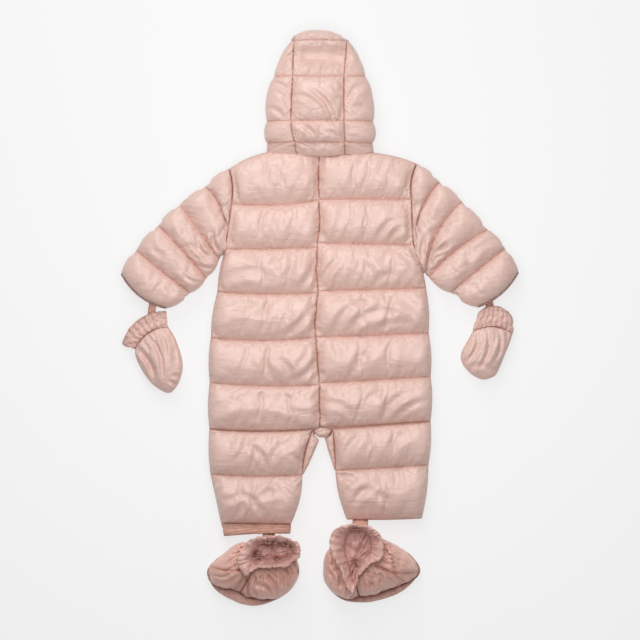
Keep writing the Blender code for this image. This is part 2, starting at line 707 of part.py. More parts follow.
def rod(name, middle, radius, length, kind):
    """A round bar along X."""
    around = [2 * math.pi * turn / ROD_SIDES for turn in range(ROD_SIDES)]
    points = []
    for x in (middle[0] - length / 2, middle[0] + length / 2):
        points += [(x, middle[1] + radius * math.cos(a), middle[2] + radius * math.sin(a)) for a in around]
    faces = [tuple(range(ROD_SIDES)), tuple(range(ROD_SIDES, 2 * ROD_SIDES))]
    for side in range(ROD_SIDES):
        after = (side + 1) % ROD_SIDES
        faces.append((side, after, ROD_SIDES + after, ROD_SIDES + side))
    return add_object(name, points, faces, kind)


def combine(piece, other, operation):
    """Joins a helper to a piece, or cuts it out, with a Boolean that stays on the piece."""
    other.hide_render = True
    other.display_type = "WIRE"
    modifier = piece.modifiers.new(f"{operation} {other.name}", "BOOLEAN")
    modifier.operation = operation
    modifier.object = other


def strip(name, centres, half_width, thick, kind):
    """A flat tab through a few points, level from side to side."""
    start, end = centres[0], centres[-1]
    length = math.dist(start[:2], end[:2])
    across = ((end[1] - start[1]) / length * half_width, (start[0] - end[0]) / length * half_width)
    top = []
    bottom = []
    for x, y, z in centres:
        edges = ((x - across[0], y - across[1]), (x + across[0], y + across[1]))
        top.append([(*edge, z + thick / 2) for edge in edges])
        bottom.append([(*edge, z - thick / 2) for edge in edges])
    return wall(name, top, bottom, kind)


def make_ankle_band():
    """The elasticated band of the left leg, which flares a little below the gathered hem."""
    rows = []
    for share, fullness in ANKLE_BAND_ROWS:
        outer = between(*ANKLE_BAND_OUTER, share)
        inner = between(*ANKLE_BAND_INNER, share)
        rows.append(([between(outer, inner, part) for part in MITTEN_SHARES], fullness))
    tube("ankle_band_left", rows, BODY_MIDDLE, SMALL_PUFF, BAND)


def make_hood_binding():
    """The bound edge of the face opening, flat on the surface under the hood."""
    path = []
    for sign, lines in ((-1, HOOD_LINES), (1, HOOD_LINES[::-1])):
        for line in lines:
            brim = line.name == "top"
            pair = []
            for depth in (SEAM_GAP, SEAM_GAP + BINDING_WIDTH):
                pair.append((sign * (line.face - depth), line.y - (depth if brim else 0.0)))
            path.append(pair)
    low = [[(x, y, BINDING_LIFT) for x, y in pair] for pair in path]
    high = [[(x, y, BINDING_LIFT + BINDING_THICK) for x, y in pair] for pair in path]
    wall("hood_binding", low, high, BAND)


def make_zip():
    """The front zip: tapes and closed chain in one strip, and the slider with its hinged pull."""
    profile = (
        (-ZIP_HALF, TAPE_HIGH),
        (ZIP_HALF, TAPE_HIGH),
        (ZIP_HALF, TAPE_LOW),
        (CHAIN_HALF, TAPE_LOW),
        (CHAIN_HALF, CHAIN_LOW),
        (-CHAIN_HALF, CHAIN_LOW),
        (-CHAIN_HALF, TAPE_LOW),
        (-ZIP_HALF, TAPE_LOW),
    )
    count = len(profile)
    points = [(ZIP_X + x, y, z) for y in (ZIP_END_Y, ZIP_TOP_Y) for x, z in profile]
    faces = [tuple(range(count)), tuple(range(count, 2 * count))]
    faces += [(i, (i + 1) % count, count + (i + 1) % count, count + i) for i in range(count)]
    add_object("front_zip", points, faces, TAPE)

    slider = box(
        "zip_slider",
        (ZIP_X - SLIDER_HALF, SLIDER_Y - SLIDER_LENGTH / 2, SLIDER_LOW),
        (ZIP_X + SLIDER_HALF, SLIDER_Y + SLIDER_LENGTH / 2, CHAIN_LOW - SEAM_GAP),
        METAL,
    )
    pivot = (ZIP_X, SLIDER_Y, PULL_PIVOT_Z)
    for sign in (-1, 1):
        near, far = sorted((ZIP_X + sign * LUG_INNER, ZIP_X + sign * LUG_OUTER))
        lug = box(
            f"lug_{'left' if sign < 0 else 'right'}",
            (near, SLIDER_Y - LUG_HALF, PULL_PIVOT_Z - LUG_HALF),
            (far, SLIDER_Y + LUG_HALF, SLIDER_LOW + OVERLAP),
            METAL,
        )
        combine(slider, lug, "UNION")
    combine(slider, rod("slider_bar", pivot, BAR_RADIUS, 2 * LUG_INNER + OVERLAP, METAL), "UNION")

    pull = rod("zip_pull", pivot, EYE_RADIUS, 2 * EYE_HALF, METAL)
    blade = box(
        "pull_blade",
        (ZIP_X - EYE_HALF, SLIDER_Y - PULL_LENGTH, PULL_PIVOT_Z - PULL_THICK / 2),
        (ZIP_X + EYE_HALF, SLIDER_Y - BAR_RADIUS, PULL_PIVOT_Z + PULL_THICK / 2),
        METAL,
    )
    combine(pull, blade, "UNION")
    combine(pull, rod("eye_hole", pivot, EYE_HOLE_RADIUS, 4 * EYE_HALF, METAL), "DIFFERENCE")


def stand_on_origin():
    """Moves every piece so that the origin is under the middle of the suit, at the surface it lies on."""
    points = [vertex.co for piece in bpy.data.objects for vertex in piece.data.vertices]
    middle = [(min(p[axis] for p in points) + max(p[axis] for p in points)) / 2 for axis in (0, 1)]
    floor = min(p.z for p in points)
    for piece in bpy.data.objects:
        for vertex in piece.data.vertices:
            vertex.co.x -= middle[0]
            vertex.co.y -= middle[1]
            vertex.co.z -= floor


clear_scene()
make_body()
make_sleeve("left", LEFT_SLEEVE, LEFT_LINES, LEFT_ARMHOLE_ROWS)
make_sleeve("right", RIGHT_SLEEVE, RIGHT_LINES, RIGHT_ARMHOLE_ROWS)
make_gusset()
make_inner_leg("left", LEFT_LINES, LEFT_INNER_LEG)
make_inner_leg("right", RIGHT_LINES, RIGHT_INNER_LEG)
make_hood_side("left", -1)
make_hood_side("right", 1)
make_hood_centre()
for each_bootie in BOOTIES:
    make_bootie(each_bootie)
make_mitten("left", LEFT_MITTEN_HAND, LEFT_MITTEN_CUFF)
make_mitten("right", RIGHT_MITTEN_HAND, RIGHT_MITTEN_CUFF)
for tab in TABS:
    strip(tab.name, tab.points, tab.half_width, TAB_THICK, BAND)
make_ankle_band()
make_hood_binding()
make_zip()
stand_on_origin()
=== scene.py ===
"""A baby's padded snowsuit, laid face down on a pale surface, seen from straight above.

Every padded piece is cut as flat cloth, pinned along its stitching, given spare cloth, and blown up by a
cloth simulation as its filling would. All sizes are in metres, in the frame that the part was packed in.
"""

import math
from collections import namedtuple

import bpy
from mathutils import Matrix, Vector, noise


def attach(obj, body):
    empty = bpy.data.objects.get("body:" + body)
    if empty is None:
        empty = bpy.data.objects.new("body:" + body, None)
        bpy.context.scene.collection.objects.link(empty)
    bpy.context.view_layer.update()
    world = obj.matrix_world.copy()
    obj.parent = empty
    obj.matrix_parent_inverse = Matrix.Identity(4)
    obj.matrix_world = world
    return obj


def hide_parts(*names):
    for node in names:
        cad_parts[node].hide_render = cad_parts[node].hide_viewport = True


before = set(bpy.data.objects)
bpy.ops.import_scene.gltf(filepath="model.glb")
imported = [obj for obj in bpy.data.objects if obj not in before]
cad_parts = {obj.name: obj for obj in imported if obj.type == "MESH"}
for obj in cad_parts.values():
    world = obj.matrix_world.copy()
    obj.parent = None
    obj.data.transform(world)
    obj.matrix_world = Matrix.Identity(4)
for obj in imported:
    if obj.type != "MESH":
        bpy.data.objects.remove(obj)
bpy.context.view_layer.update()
bpy.ops.object.select_all(action="DESELECT")
bpy.context.scene.view_settings.view_transform = "Standard"


# The surface that the suit lies on, a white light table that glows, with the studio light and the camera. A
# broad soft lamp beyond the hood gives the channels their light and dark sides, and one over the body makes
# a pool of light that falls off towards the booties. The camera looks straight down.
bpy.ops.mesh.primitive_plane_add(size=6, location=(0, 0, -0.0005))
floor = bpy.context.object
floor.name = "floor"
floor_finish = bpy.data.materials.new("light_table")
floor_finish.use_nodes = True
floor_shader = floor_finish.node_tree.nodes["Principled BSDF"]
floor_shader.inputs["Base Color"].default_value = (0.20, 0.20, 0.20, 1)
floor_shader.inputs["Emission Color"].default_value = (1, 1, 1, 1)
floor_shader.inputs["Emission Strength"].default_value = 0.725
floor_shader.inputs["Roughness"].default_value = 0.9
floor_shader.inputs["Specular IOR Level"].default_value = 0.1
floor.data.materials.append(floor_finish)

room = bpy.data.worlds.new("studio")
room.use_nodes = True
room.node_tree.nodes["Background"].inputs["Color"].default_value = (1, 1, 1, 1)
room.node_tree.nodes["Background"].inputs["Strength"].default_value = 0.33
bpy.context.scene.world = room

Lamp = namedtuple("Lamp", "name place size power")
LAMPS = (
    Lamp("key", (-0.30, 1.25, 1.05), 0.9, 11.9),
    Lamp("overhead", (0.0, 0.08, 0.80), 0.5, 3.5),
)
for lamp in LAMPS:
    bpy.ops.object.light_add(type="AREA", location=lamp.place)
    light = bpy.context.object
    light.name = lamp.name
    light.data.size = lamp.size
    light.data.energy = lamp.power
    light.rotation_euler = (-Vector(lamp.place)).to_track_quat("-Z", "Y").to_euler()

VIEW_WIDTH = 0.928
CAMERA_HEIGHT = 4.0
SEEN_HEIGHT = 0.02
camera_data = bpy.data.cameras.new("camera")
camera_data.sensor_width = 36
camera_data.lens = 36 * (CAMERA_HEIGHT - SEEN_HEIGHT) / VIEW_WIDTH
camera = bpy.data.objects.new("camera", camera_data)
camera.location = (-0.0007, -0.0015, CAMERA_HEIGHT)
bpy.context.scene.collection.objects.link(camera)
bpy.context.scene.camera = camera


# The shell cloth, which most pieces are cut from: a light, close-woven satin in pale rose. Along every
# stitched line it is drawn into fine puckers, the thread shows a warmer pink, and the sheen is broken by
# small crinkles.
class Value:
    """A number that varies over a surface: arithmetic on it adds Math nodes."""

    def __init__(self, socket):
        self.socket = socket

    def maths(self, operation, *numbers):
        tree = self.socket.id_data
        node = tree.nodes.new("ShaderNodeMath")
        node.operation = operation
        for place, number in zip(node.inputs, numbers):
            if isinstance(number, Value):
                tree.links.new(number.socket, place)
            else:
                place.default_value = number
        return Value(node.outputs[0])

    def __add__(self, other):
        return self.maths("ADD", self, other)

    __radd__ = __add__

    def __sub__(self, other):
        return self.maths("SUBTRACT", self, other)

    def __rsub__(self, other):
        return self.maths("SUBTRACT", other, self)

    def __mul__(self, other):
        return self.maths("MULTIPLY", self, other)

    __rmul__ = __mul__

    def __lt__(self, other):
        return self.maths("LESS_THAN", self, other)

    def __mod__(self, other):
        return self.maths("FLOORED_MODULO", self, other)


class Finish:
    """A material on the Principled shader: constants are named as its sockets, node() adds any other node."""

    def __init__(self, name, constants):
        self.material = bpy.data.materials.new(name)
        self.material.use_nodes = True
        self.tree = self.material.node_tree
        self.shader = self.tree.nodes["Principled BSDF"]
        for socket, value in constants.items():
            self.shader.inputs[socket].default_value = value

    def node(self, kind, settings, inputs, output=0):
        made = self.tree.nodes.new(kind)
        for setting, value in settings.items():
            setattr(made, setting, value)
        for socket, value in inputs.items():
            if isinstance(value, Value):
                self.tree.links.new(value.socket, made.inputs[socket])
            else:
                made.inputs[socket].default_value = value
        return Value(made.outputs[output])

    def fall(self, value, reach):
        """1 where the value is 0, falling smoothly to 0 at its reach."""
        settings = {"interpolation_type": "SMOOTHSTEP"}
        return self.node("ShaderNodeMapRange", settings, {0: value, 1: 0.0, 2: reach, 3: 1.0, 4: 0.0})

    def mix(self, share, one, other):
        settings = {"data_type": "RGBA"}
        return self.node("ShaderNodeMix", settings, {0: share, 6: one, 7: other}, output=2)

    def feed(self, socket, value):
        self.tree.links.new(value.socket, self.shader.inputs[socket])


def satin(name, light, shade, thread, roughness, crinkle):
    """Close-woven satin: its light and shaded colours, its thread, and how deep its crinkles are."""
    stitch_pitch = 0.0034
    stitch_length = 0.0022
    pucker_depth = 0.0026
    pucker_reach = 0.020
    weave_depth = 0.000012
    stitch_depth = 0.0006
    finish = Finish(name, {"Sheen Weight": 0.18, "Sheen Roughness": 0.45, "Sheen Tint": (1.0, 0.88, 0.84, 1)})
    place = finish.node("ShaderNodeTexCoord", {}, {}, output="Object")
    near = finish.node("ShaderNodeAttribute", {"attribute_name": "near"}, {}, output="Fac")
    along = finish.node("ShaderNodeAttribute", {"attribute_name": "along"}, {}, output="Fac")

    stitches = finish.fall(near, 0.0009) * (along % stitch_pitch < stitch_length)
    # Painted shade: within about 6 mm of every stitched line the colour is painted towards the shaded colour,
    # standing in for the shade in the grooves beside the stitching. Elsewhere the clouds mottle it at random
    # between the two colours.
    painted_seam_shade = finish.fall(near, 0.0065)
    clouds = finish.node("ShaderNodeTexNoise", {}, {"Vector": place, "Scale": 22.0, "Detail": 3.0})
    colour = finish.mix(clouds * 0.5 + painted_seam_shade * 0.5, light, shade)
    colour = finish.mix(stitches * 0.7 + finish.fall(near, 0.0018) * 0.42, colour, thread)
    finish.feed("Base Color", colour)

    leaning = finish.node(
        "ShaderNodeMapping", {}, {"Vector": place, "Rotation": (0, 0, 0.95), "Scale": (0.40, 1.5, 1.0)}
    )
    folds = finish.node(
        "ShaderNodeTexNoise", {}, {"Vector": leaning, "Scale": 62.0, "Detail": 3.5, "Distortion": 1.3}
    )
    pucker_place = finish.node(
        "ShaderNodeCombineXYZ", {}, {"X": along + near * 0.55, "Y": near * 0.25, "Z": folds * 0.002}
    )
    puckers = finish.node("ShaderNodeTexNoise", {}, {"Vector": pucker_place, "Scale": 150.0, "Detail": 2.0})
    warp = finish.node(
        "ShaderNodeTexWave", {"bands_direction": "X"}, {"Vector": place, "Scale": 420.0, "Distortion": 0.3}
    )
    weft = finish.node(
        "ShaderNodeTexWave", {"bands_direction": "Y"}, {"Vector": place, "Scale": 420.0, "Distortion": 0.3}
    )
    height = (
        folds * crinkle
        + puckers * finish.fall(near, pucker_reach) * pucker_depth
        + (warp + weft) * weave_depth
        - finish.fall(near, 0.0014) * stitch_depth
    )
    bump = {"Height": height, "Distance": 1.0, "Strength": 1.0}
    relief = finish.node("ShaderNodeBump", {}, bump, output="Normal")
    finish.feed("Normal", relief)
    finish.feed("Roughness", clouds * 0.12 + (roughness - 0.06))
    return finish.material


SHELL = satin(
    "shell_satin",
    light=(0.735, 0.522, 0.463, 1),
    shade=(0.665, 0.414, 0.350, 1),
    thread=(0.66, 0.33, 0.255, 1),
    roughness=0.33,
    crinkle=0.0015,
)


# The two back panels, each the back of the body and of one leg in one piece: shell cloth over light filling,
# quilted across and lined, and joined by a gathered seam down the middle of the back. Each row of the tables
# is a quilt line from left to right and the fullness of the channel below it.
QuiltLine = namedtuple("QuiltLine", "name left middle right fullness left_swell right_swell")
Channel = namedtuple("Channel", "depth fullness")
Crease = namedtuple("Crease", "start end width depth")

CELL = 0.0028
BODY_MIDDLE = 0.019
SEAM_RISE = 0.0016
LINE_RISE = 0.0060
CENTRE_RISE = 0.0068
ARMHOLE_RISE = 0.0118
LEG_SEAM_RISE = 0.0040
LINING_GAP = 0.0003  # from the middle of the body to the lining on each side of it
# How many channels down from the neck each armhole ends
ARMHOLE_END = {"left": 2.13, "right": 2.63}

BACK_LEFT = (
    QuiltLine("neck", (-0.132, 0.218), (-0.082, 0.2405), (0, 0.236), 0.012, 0.003, 0),
    QuiltLine("shoulder", (-0.1283, 0.1668), (-0.069, 0.1647), (0, 0.1726), 0.0125, 0, 0),
    QuiltLine("chest", (-0.138, 0.1010), (-0.085, 0.1015), (0, 0.1037), 0.0125, -0.0026, 0),
    QuiltLine("waist", (-0.1495, 0.0392), (-0.088, 0.0360), (0, 0.0381), 0.0125, -0.0026, 0),
    QuiltLine("hip", (-0.159, -0.0276), (-0.105, -0.0312), (0, -0.0261), 0.0125, -0.0026, 0),
    QuiltLine("seat", (-0.1605, -0.0924), (-0.1095, -0.0962), (0, -0.0951), 0.0125, -0.0026, 0),
    QuiltLine("thigh", (-0.161, -0.1590), (-0.095, -0.1622), (0, -0.1580), 0, 0, 0),
    QuiltLine("crotch", (-0.161, -0.1600), (-0.095, -0.1632), (-0.011, -0.1605), 0.0125, -0.0022, -0.004),
    QuiltLine("knee", (-0.1595, -0.2250), (-0.083, -0.2282), (-0.0262, -0.2262), 0.0115, 0.0005, 0.0045),
    QuiltLine("hem", (-0.1445, -0.2952), (-0.100, -0.2965), (-0.0425, -0.2967), 0, 0, 0),
)
BACK_RIGHT = (
    QuiltLine("neck", (0, 0.236), (0.080, 0.2405), (0.139, 0.2255), 0.012, 0, -0.004),
    QuiltLine("shoulder", (0, 0.1730), (0.066, 0.1735), (0.1312, 0.1728), 0.0125, 0, 0),
    QuiltLine("chest", (0, 0.1100), (0.066, 0.1085), (0.1341, 0.1073), 0.0125, 0, 0.0032),
    QuiltLine("waist", (0, 0.0406), (0.077, 0.0425), (0.153, 0.0450), 0.0125, 0, 0.0026),
    QuiltLine("hip", (0, -0.0261), (0.080, -0.0238), (0.1568, -0.0203), 0.0125, 0, 0.0026),
    QuiltLine("seat", (0, -0.0930), (0.080, -0.0885), (0.1597, -0.0834), 0.0125, 0, 0.0026),
    QuiltLine("thigh", (0, -0.1570), (0.080, -0.1530), (0.1595, -0.1479), 0, 0, 0),
    QuiltLine("crotch", (0.018, -0.1605), (0.090, -0.1545), (0.1595, -0.1489), 0.0125, 0.001, 0.0024),
    QuiltLine("knee", (0.0215, -0.2195), (0.090, -0.2160), (0.1565, -0.2117), 0.0115, -0.0035, 0.0026),
    QuiltLine("hem", (0.038, -0.2905), (0.092, -0.2910), (0.147, -0.2892), 0, 0, 0),
)
# The seam down the middle of the back wanders: its X at each height.
CENTRE_SEAM = (
    (0.2405, -0.0022), (0.205, -0.0030), (0.172, -0.0022), (0.140, -0.0015), (0.104, -0.0045),
    (0.070, -0.0060), (0.040, -0.0040), (0.018, -0.0060), (-0.006, -0.0085), (-0.026, -0.0065),
    (-0.060, -0.0045), (-0.095, -0.0015), (-0.130, -0.0010), (-0.158, -0.0007),
)
LEFT_CREASES = (
    Crease((-0.012, 0.083), (-0.030, 0.047), 0.0050, 0.0025),
    Crease((-0.058, 0.098), (-0.075, 0.076), 0.0045, 0.0022),
    Crease((-0.104, 0.096), (-0.112, 0.080), 0.0040, 0.0016),
    Crease((-0.140, 0.058), (-0.072, 0.062), 0.0080, 0.0028),
    Crease((-0.040, 0.092), (-0.052, 0.060), 0.0055, 0.0026),
    Crease((-0.150, 0.008), (-0.085, 0.016), 0.0085, 0.0034),
    Crease((-0.012, 0.020), (-0.052, -0.022), 0.0055, 0.0034),
    Crease((-0.024, 0.012), (-0.038, -0.010), 0.0045, 0.0024),
    Crease((-0.070, 0.026), (-0.100, 0.004), 0.0060, 0.0022),
    Crease((-0.060, -0.058), (-0.042, -0.088), 0.0060, 0.0034),
    Crease((-0.004, -0.052), (-0.036, -0.088), 0.0050, 0.0034),
    Crease((-0.018, -0.040), (-0.030, -0.064), 0.0045, 0.0022),
    Crease((-0.088, -0.055), (-0.074, -0.082), 0.0050, 0.0018),
    Crease((-0.110, -0.182), (-0.080, -0.205), 0.0050, 0.0024),
    Crease((-0.040, -0.196), (-0.028, -0.218), 0.0040, 0.0034),
    Crease((-0.060, -0.232), (-0.030, -0.250), 0.0045, 0.0034),
    Crease((-0.075, -0.232), (-0.040, -0.262), 0.0050, 0.0024),
    Crease((-0.012, -0.100), (-0.060, -0.112), 0.0060, 0.0034),
    Crease((-0.004, -0.112), (-0.046, -0.117), 0.0050, 0.0028),
    Crease((-0.150, -0.128), (-0.030, -0.131), 0.0080, 0.0030),
    Crease((-0.114, -0.253), (-0.088, -0.276), 0.0050, 0.0026),
    Crease((-0.114, -0.250), (-0.140, -0.262), 0.0050, 0.0022),
    Crease((-0.114, -0.252), (-0.120, -0.284), 0.0045, 0.0020),
    Crease((-0.095, -0.262), (-0.060, -0.250), 0.0060, 0.0024),
    Crease((-0.070, -0.200), (-0.034, -0.176), 0.0060, 0.0026),
    Crease((-0.105, -0.170), (-0.125, -0.205), 0.0055, 0.0022),
)
RIGHT_CREASES = (
    Crease((0.004, 0.046), (0.026, 0.086), 0.0050, 0.0034),
    Crease((0.060, 0.082), (0.078, 0.050), 0.0070, 0.0028),
    Crease((0.078, 0.050), (0.104, 0.066), 0.0060, 0.0022),
    Crease((0.092, 0.086), (0.130, 0.114), 0.0050, 0.0026),
    Crease((0.084, 0.118), (0.108, 0.142), 0.0050, 0.0028),
    Crease((0.100, 0.112), (0.124, 0.134), 0.0045, 0.0018),
    Crease((0.112, 0.092), (0.132, 0.080), 0.0045, 0.0026),
    Crease((0.100, 0.100), (0.126, 0.088), 0.0045, 0.0018),
    Crease((0.020, -0.020), (0.064, 0.026), 0.0070, 0.0042),
    Crease((0.036, -0.014), (0.104, 0.012), 0.0080, 0.0038),
    Crease((0.064, 0.020), (0.046, 0.036), 0.0060, 0.0028),
    Crease((0.100, 0.030), (0.150, 0.004), 0.0075, 0.0034),
    Crease((0.078, -0.018), (0.120, -0.004), 0.0055, 0.0022),
    Crease((0.020, -0.036), (0.026, -0.056), 0.0050, 0.0018),
    Crease((0.046, -0.078), (0.078, -0.044), 0.0070, 0.0026),
    Crease((0.060, -0.140), (0.084, -0.104), 0.0065, 0.0032),
    Crease((0.088, -0.144), (0.130, -0.106), 0.0065, 0.0030),
    Crease((0.108, -0.146), (0.150, -0.118), 0.0055, 0.0026),
    Crease((0.006, -0.120), (0.044, -0.136), 0.0060, 0.0026),
    Crease((0.022, -0.226), (0.052, -0.236), 0.0050, 0.0036),
    Crease((0.024, -0.240), (0.050, -0.226), 0.0050, 0.0032),
    Crease((0.050, -0.262), (0.078, -0.240), 0.0060, 0.0034),
    Crease((0.058, -0.250), (0.096, -0.262), 0.0060, 0.0026),
    Crease((0.100, -0.190), (0.130, -0.164), 0.0065, 0.0024),
    Crease((0.036, -0.200), (0.060, -0.168), 0.0060, 0.0024),
)


def centre_seam(y):
    """Where the seam down the middle of the back is at a height, with the small wiggle of its gathers."""
    wiggle = 0.0011 * noise.noise(Vector((0.7, y * 90, 0)))
    for (above, one), (below, other) in zip(CENTRE_SEAM, CENTRE_SEAM[1:]):
        if y >= below:
            share = min(1.0, max(0.0, (above - y) / (above - below)))
            share = share * share * (3 - 2 * share)
            return one + (other - one) * share + wiggle
    return CENTRE_SEAM[-1][1] + wiggle


def bowed(one, middle, other, share):
    """A point of the smooth line through three points, at a share of the way along it."""
    one, middle, other = Vector(one), Vector(middle), Vector(other)
    knee = (middle - one).length / ((middle - one).length + (other - middle).length)
    pull = (middle - one * (1 - knee) ** 2 - other * knee**2) / (2 * knee * (1 - knee))
    return one * (1 - share) ** 2 + pull * 2 * share * (1 - share) + other * share**2


def rounded(distance, reach):
    """How full a channel is at a distance from the seam that ends it: a quarter of a circle."""
    return math.sqrt(1 - (1 - min(1.0, max(0.0, distance) / reach)) ** 2)


def ring_height(share, rise):
    """How high a flattened ring stands at a share of the way across it."""
    return rise * max(0.0, 1 - abs(2 * share - 1) ** 3) ** 0.4


def armhole_rise(side, down):
    """How far the armhole seam stands above the body's middle: it is highest half way round the shoulder."""
    return max(SEAM_RISE, ring_height(min(1.0, max(0.0, down / ARMHOLE_END[side])), ARMHOLE_RISE))


def body_surface(lines, seam_side):
    """The sewn-down surface of a back panel, as a function of the share across and the channels down."""
    side = "left" if seam_side == "right" else "right"
    width = abs(lines[0].left[0] - lines[0].right[0])

    def surface(across, down):
        number = min(int(max(down, 0)), len(lines) - 2)
        share = down - number
        upper, lower = lines[number], lines[number + 1]
        start = bowed(upper.left, upper.middle, upper.right, across)
        point = start.lerp(bowed(lower.left, lower.middle, lower.right, across), share)
        swell = math.sin(math.pi * share)
        x = point.x + swell * (upper.left_swell * (1 - across) ** 3 + upper.right_swell * across**3)
        to_centre = 1 - across if seam_side == "right" else across
        inner_rise = LEG_SEAM_RISE
        if number < 6:
            x += centre_seam(point.y) * (1 - to_centre) ** 4
            inner_rise = CENTRE_RISE
        rise = LINE_RISE
        rise += (armhole_rise(side, down) - LINE_RISE) * (1 - rounded((1 - to_centre) * width, 0.02))
        rise += (inner_rise - LINE_RISE) * (1 - rounded(to_centre * width, 0.02))
        return Vector((x, point.y, BODY_MIDDLE + rise))

    return surface


def panel_ends(across, width):
    """How full a panel's channel is on its way across: it comes down to the seam at each end."""
    return math.sin(math.pi / 2 * min(1.0, min(across, 1 - across) * width / 0.020)) ** 0.8


def all_sewn(across, line):
    return True


FULL_DEPTH = 0.035  # a channel as deep as this stands up to its whole fullness
UNEVENNESS = 0.0034
STITCHED_RUN = 0.065  # what one channel adds to the distance along the stitching
SLOPE_STEP = 0.004  # how far to each side of a point its slope is taken, as a share


def lay_out(
    name, surface, channels, columns, cell,
    out=1, ends=panel_ends, sewn=all_sewn, around=False, lean=0.1, seed=0.0,
):
    """Lays shell cloth over a sewn-down surface, in channels that already stand up a little.

    Each point keeps how near the stitching it is, how far along it, and where it was in the cut cloth.
    """
    downs = [0.0]
    for number, channel in enumerate(channels):
        steps = max(1, round(channel.depth / cell))
        downs += [number + (step + 1) / steps for step in range(steps)]
    rows = len(downs) - 1
    bpy.ops.object.select_all(action="DESELECT")
    bpy.ops.mesh.primitive_grid_add(x_subdivisions=columns, y_subdivisions=rows, size=1)
    piece = bpy.context.object
    piece.name = piece.data.name = f"{name}_cloth"
    for attribute in ("near", "along", "from_side"):
        piece.data.attributes.new(attribute, "FLOAT", "POINT")
    piece.data.attributes.new("cut", "FLOAT_VECTOR", "POINT")
    near, along, from_side, cut = (
        piece.data.attributes[attribute].data for attribute in ("near", "along", "from_side", "cut")
    )
    for vertex in piece.data.vertices:
        across = vertex.co.x + 0.5
        down = downs[round((0.5 - vertex.co.y) * rows)]
        number = min(int(down), len(channels) - 1)
        share = down - number
        low, high = across - SLOPE_STEP, across + SLOPE_STEP
        if not around:
            low, high = max(0.0, low), min(1.0, high)
        sideways = surface(high, down) - surface(low, down)
        top, bottom = max(0.0, down - SLOPE_STEP), min(float(len(channels)), down + SLOPE_STEP)
        downwards = surface(across, bottom) - surface(across, top)
        normal = downwards.cross(sideways).normalized() * out
        sideways.normalize()
        base = surface(across, down)
        depth = (surface(across, number + 1) - surface(across, number)).length
        width = sum((surface((i + 1) / 6, down) - surface(i / 6, down)).length for i in range(6))
        to_line = min(
            share * depth if sewn(across, number) else 1.0,
            (1 - share) * depth if sewn(across, number + 1) else 1.0,
        )
        to_side = 1.0 if around else min(across, 1 - across) * width
        end = ends(across, width)
        stands = channels[number].fullness * min(1.0, depth / FULL_DEPTH)
        lift = stands * math.sin(math.pi * share) ** 0.7 * end
        grain = Vector((base.x * 75 - base.y * 35, base.y * 22 + base.x * 8, number * 3.1 + seed))
        if 0 < share < 1 and to_side > 0.0001:
            uneven = UNEVENNESS * min(1.0, depth / FULL_DEPTH) * noise.noise(grain)
            lift += uneven * math.sin(math.pi * share) ** 0.5 * end
        shear = lean * (1 + 1.2 * noise.noise(Vector((base.x * 18, number * 1.7, seed + base.y * 4))))
        vertex.co = base + normal * lift
        near[vertex.index].value = min(to_line, to_side)
        from_side[vertex.index].value = to_side
        along[vertex.index].value = across * width + down * STITCHED_RUN
        cut[vertex.index].vector = vertex.co - sideways * shear * (1 - share) * depth
    if out < 0:
        piece.data.flip_normals()
    if around:
        bpy.ops.object.mode_set(mode="EDIT")
        bpy.ops.mesh.select_all(action="SELECT")
        bpy.ops.mesh.remove_doubles(threshold=0.00002)
        bpy.ops.object.mode_set(mode="OBJECT")
    return piece


def pick(piece):
    """Makes a piece the only one that the next step works on."""
    bpy.ops.object.select_all(action="DESELECT")
    piece.select_set(True)
    bpy.context.view_layer.objects.active = piece


def forget_cut(piece):
    """Takes off what only the filling needs."""
    for attribute in ("cut", "from_side"):
        piece.data.attributes.remove(piece.data.attributes[attribute])


SIDE_HOLD = 0.8
SIDE_REACH = 0.009


def fill(piece, pressure=230.0, spare=0.055, frames=12):
    """Blows the cloth up between its stitching, with some spare cloth, as filling does."""
    stitched = [point.value < 0.0001 for point in piece.data.attributes["near"].data]
    sides = [point.value for point in piece.data.attributes["from_side"].data]
    places = [Vector(point.vector) for point in piece.data.attributes["cut"].data]
    sewn = piece.vertex_groups.new(name="sewn")
    for index, side in enumerate(sides):
        hold = 1.0 if stitched[index] else SIDE_HOLD * max(0.0, 1 - side / SIDE_REACH)
        if hold > 0:
            sewn.add([index], hold, "REPLACE")
    piece.shape_key_add(name="laid")
    shape = piece.shape_key_add(name="cut")
    for point, place in zip(shape.data, places):
        point.co = place
    cloth = piece.modifiers.new("filling", "CLOTH")
    settings = cloth.settings
    settings.quality = 6
    settings.mass = 0.005
    settings.tension_stiffness = 5
    settings.compression_stiffness = 5
    settings.shear_stiffness = 2.5
    settings.bending_stiffness = 0.012
    settings.air_damping = 2
    settings.use_pressure = True
    settings.uniform_pressure_force = pressure
    settings.shrink_min = -spare
    settings.rest_shape_key = shape
    settings.vertex_group_mass = "sewn"
    settings.effector_weights.gravity = 0
    cloth.collision_settings.use_collision = False
    cloth.collision_settings.use_self_collision = False
    for number in range(1, frames + 1):
        bpy.context.scene.frame_set(number)
    pick(piece)
    bpy.ops.object.convert(target="MESH")
    bpy.context.scene.frame_set(1)
    piece.vertex_groups.clear()
    forget_cut(piece)


def press_creases(piece, creases):
    """Presses the listed creases into the cloth: a sharp valley with a soft ridge on each side of it."""
    near = piece.data.attributes["near"].data
    for crease in creases:
        start, end = Vector(crease.start), Vector(crease.end)
        run = end - start
        length = run.length
        run.normalize()
        for vertex in piece.data.vertices:
            if vertex.normal.z < 0.1:
                continue
            offset = vertex.co.xy - start
            share = offset.dot(run) / length
            if not -0.15 < share < 1.15:
                continue
            bend = 0.12 * length * math.sin(math.pi * share)
            away = abs(offset.x * run.y - offset.y * run.x + bend) / crease.width
            if away > 3:
                continue
            taper = math.sin(math.pi * min(1.0, max(0.0, (share + 0.15) / 1.3))) ** 0.7
            profile = math.exp(-(away**2)) - 0.55 * math.exp(-((away - 1.7) ** 2) / 0.7)
            held = min(1.0, near[vertex.index].value / 0.006)
            vertex.co.z -= crease.depth * profile * taper * held


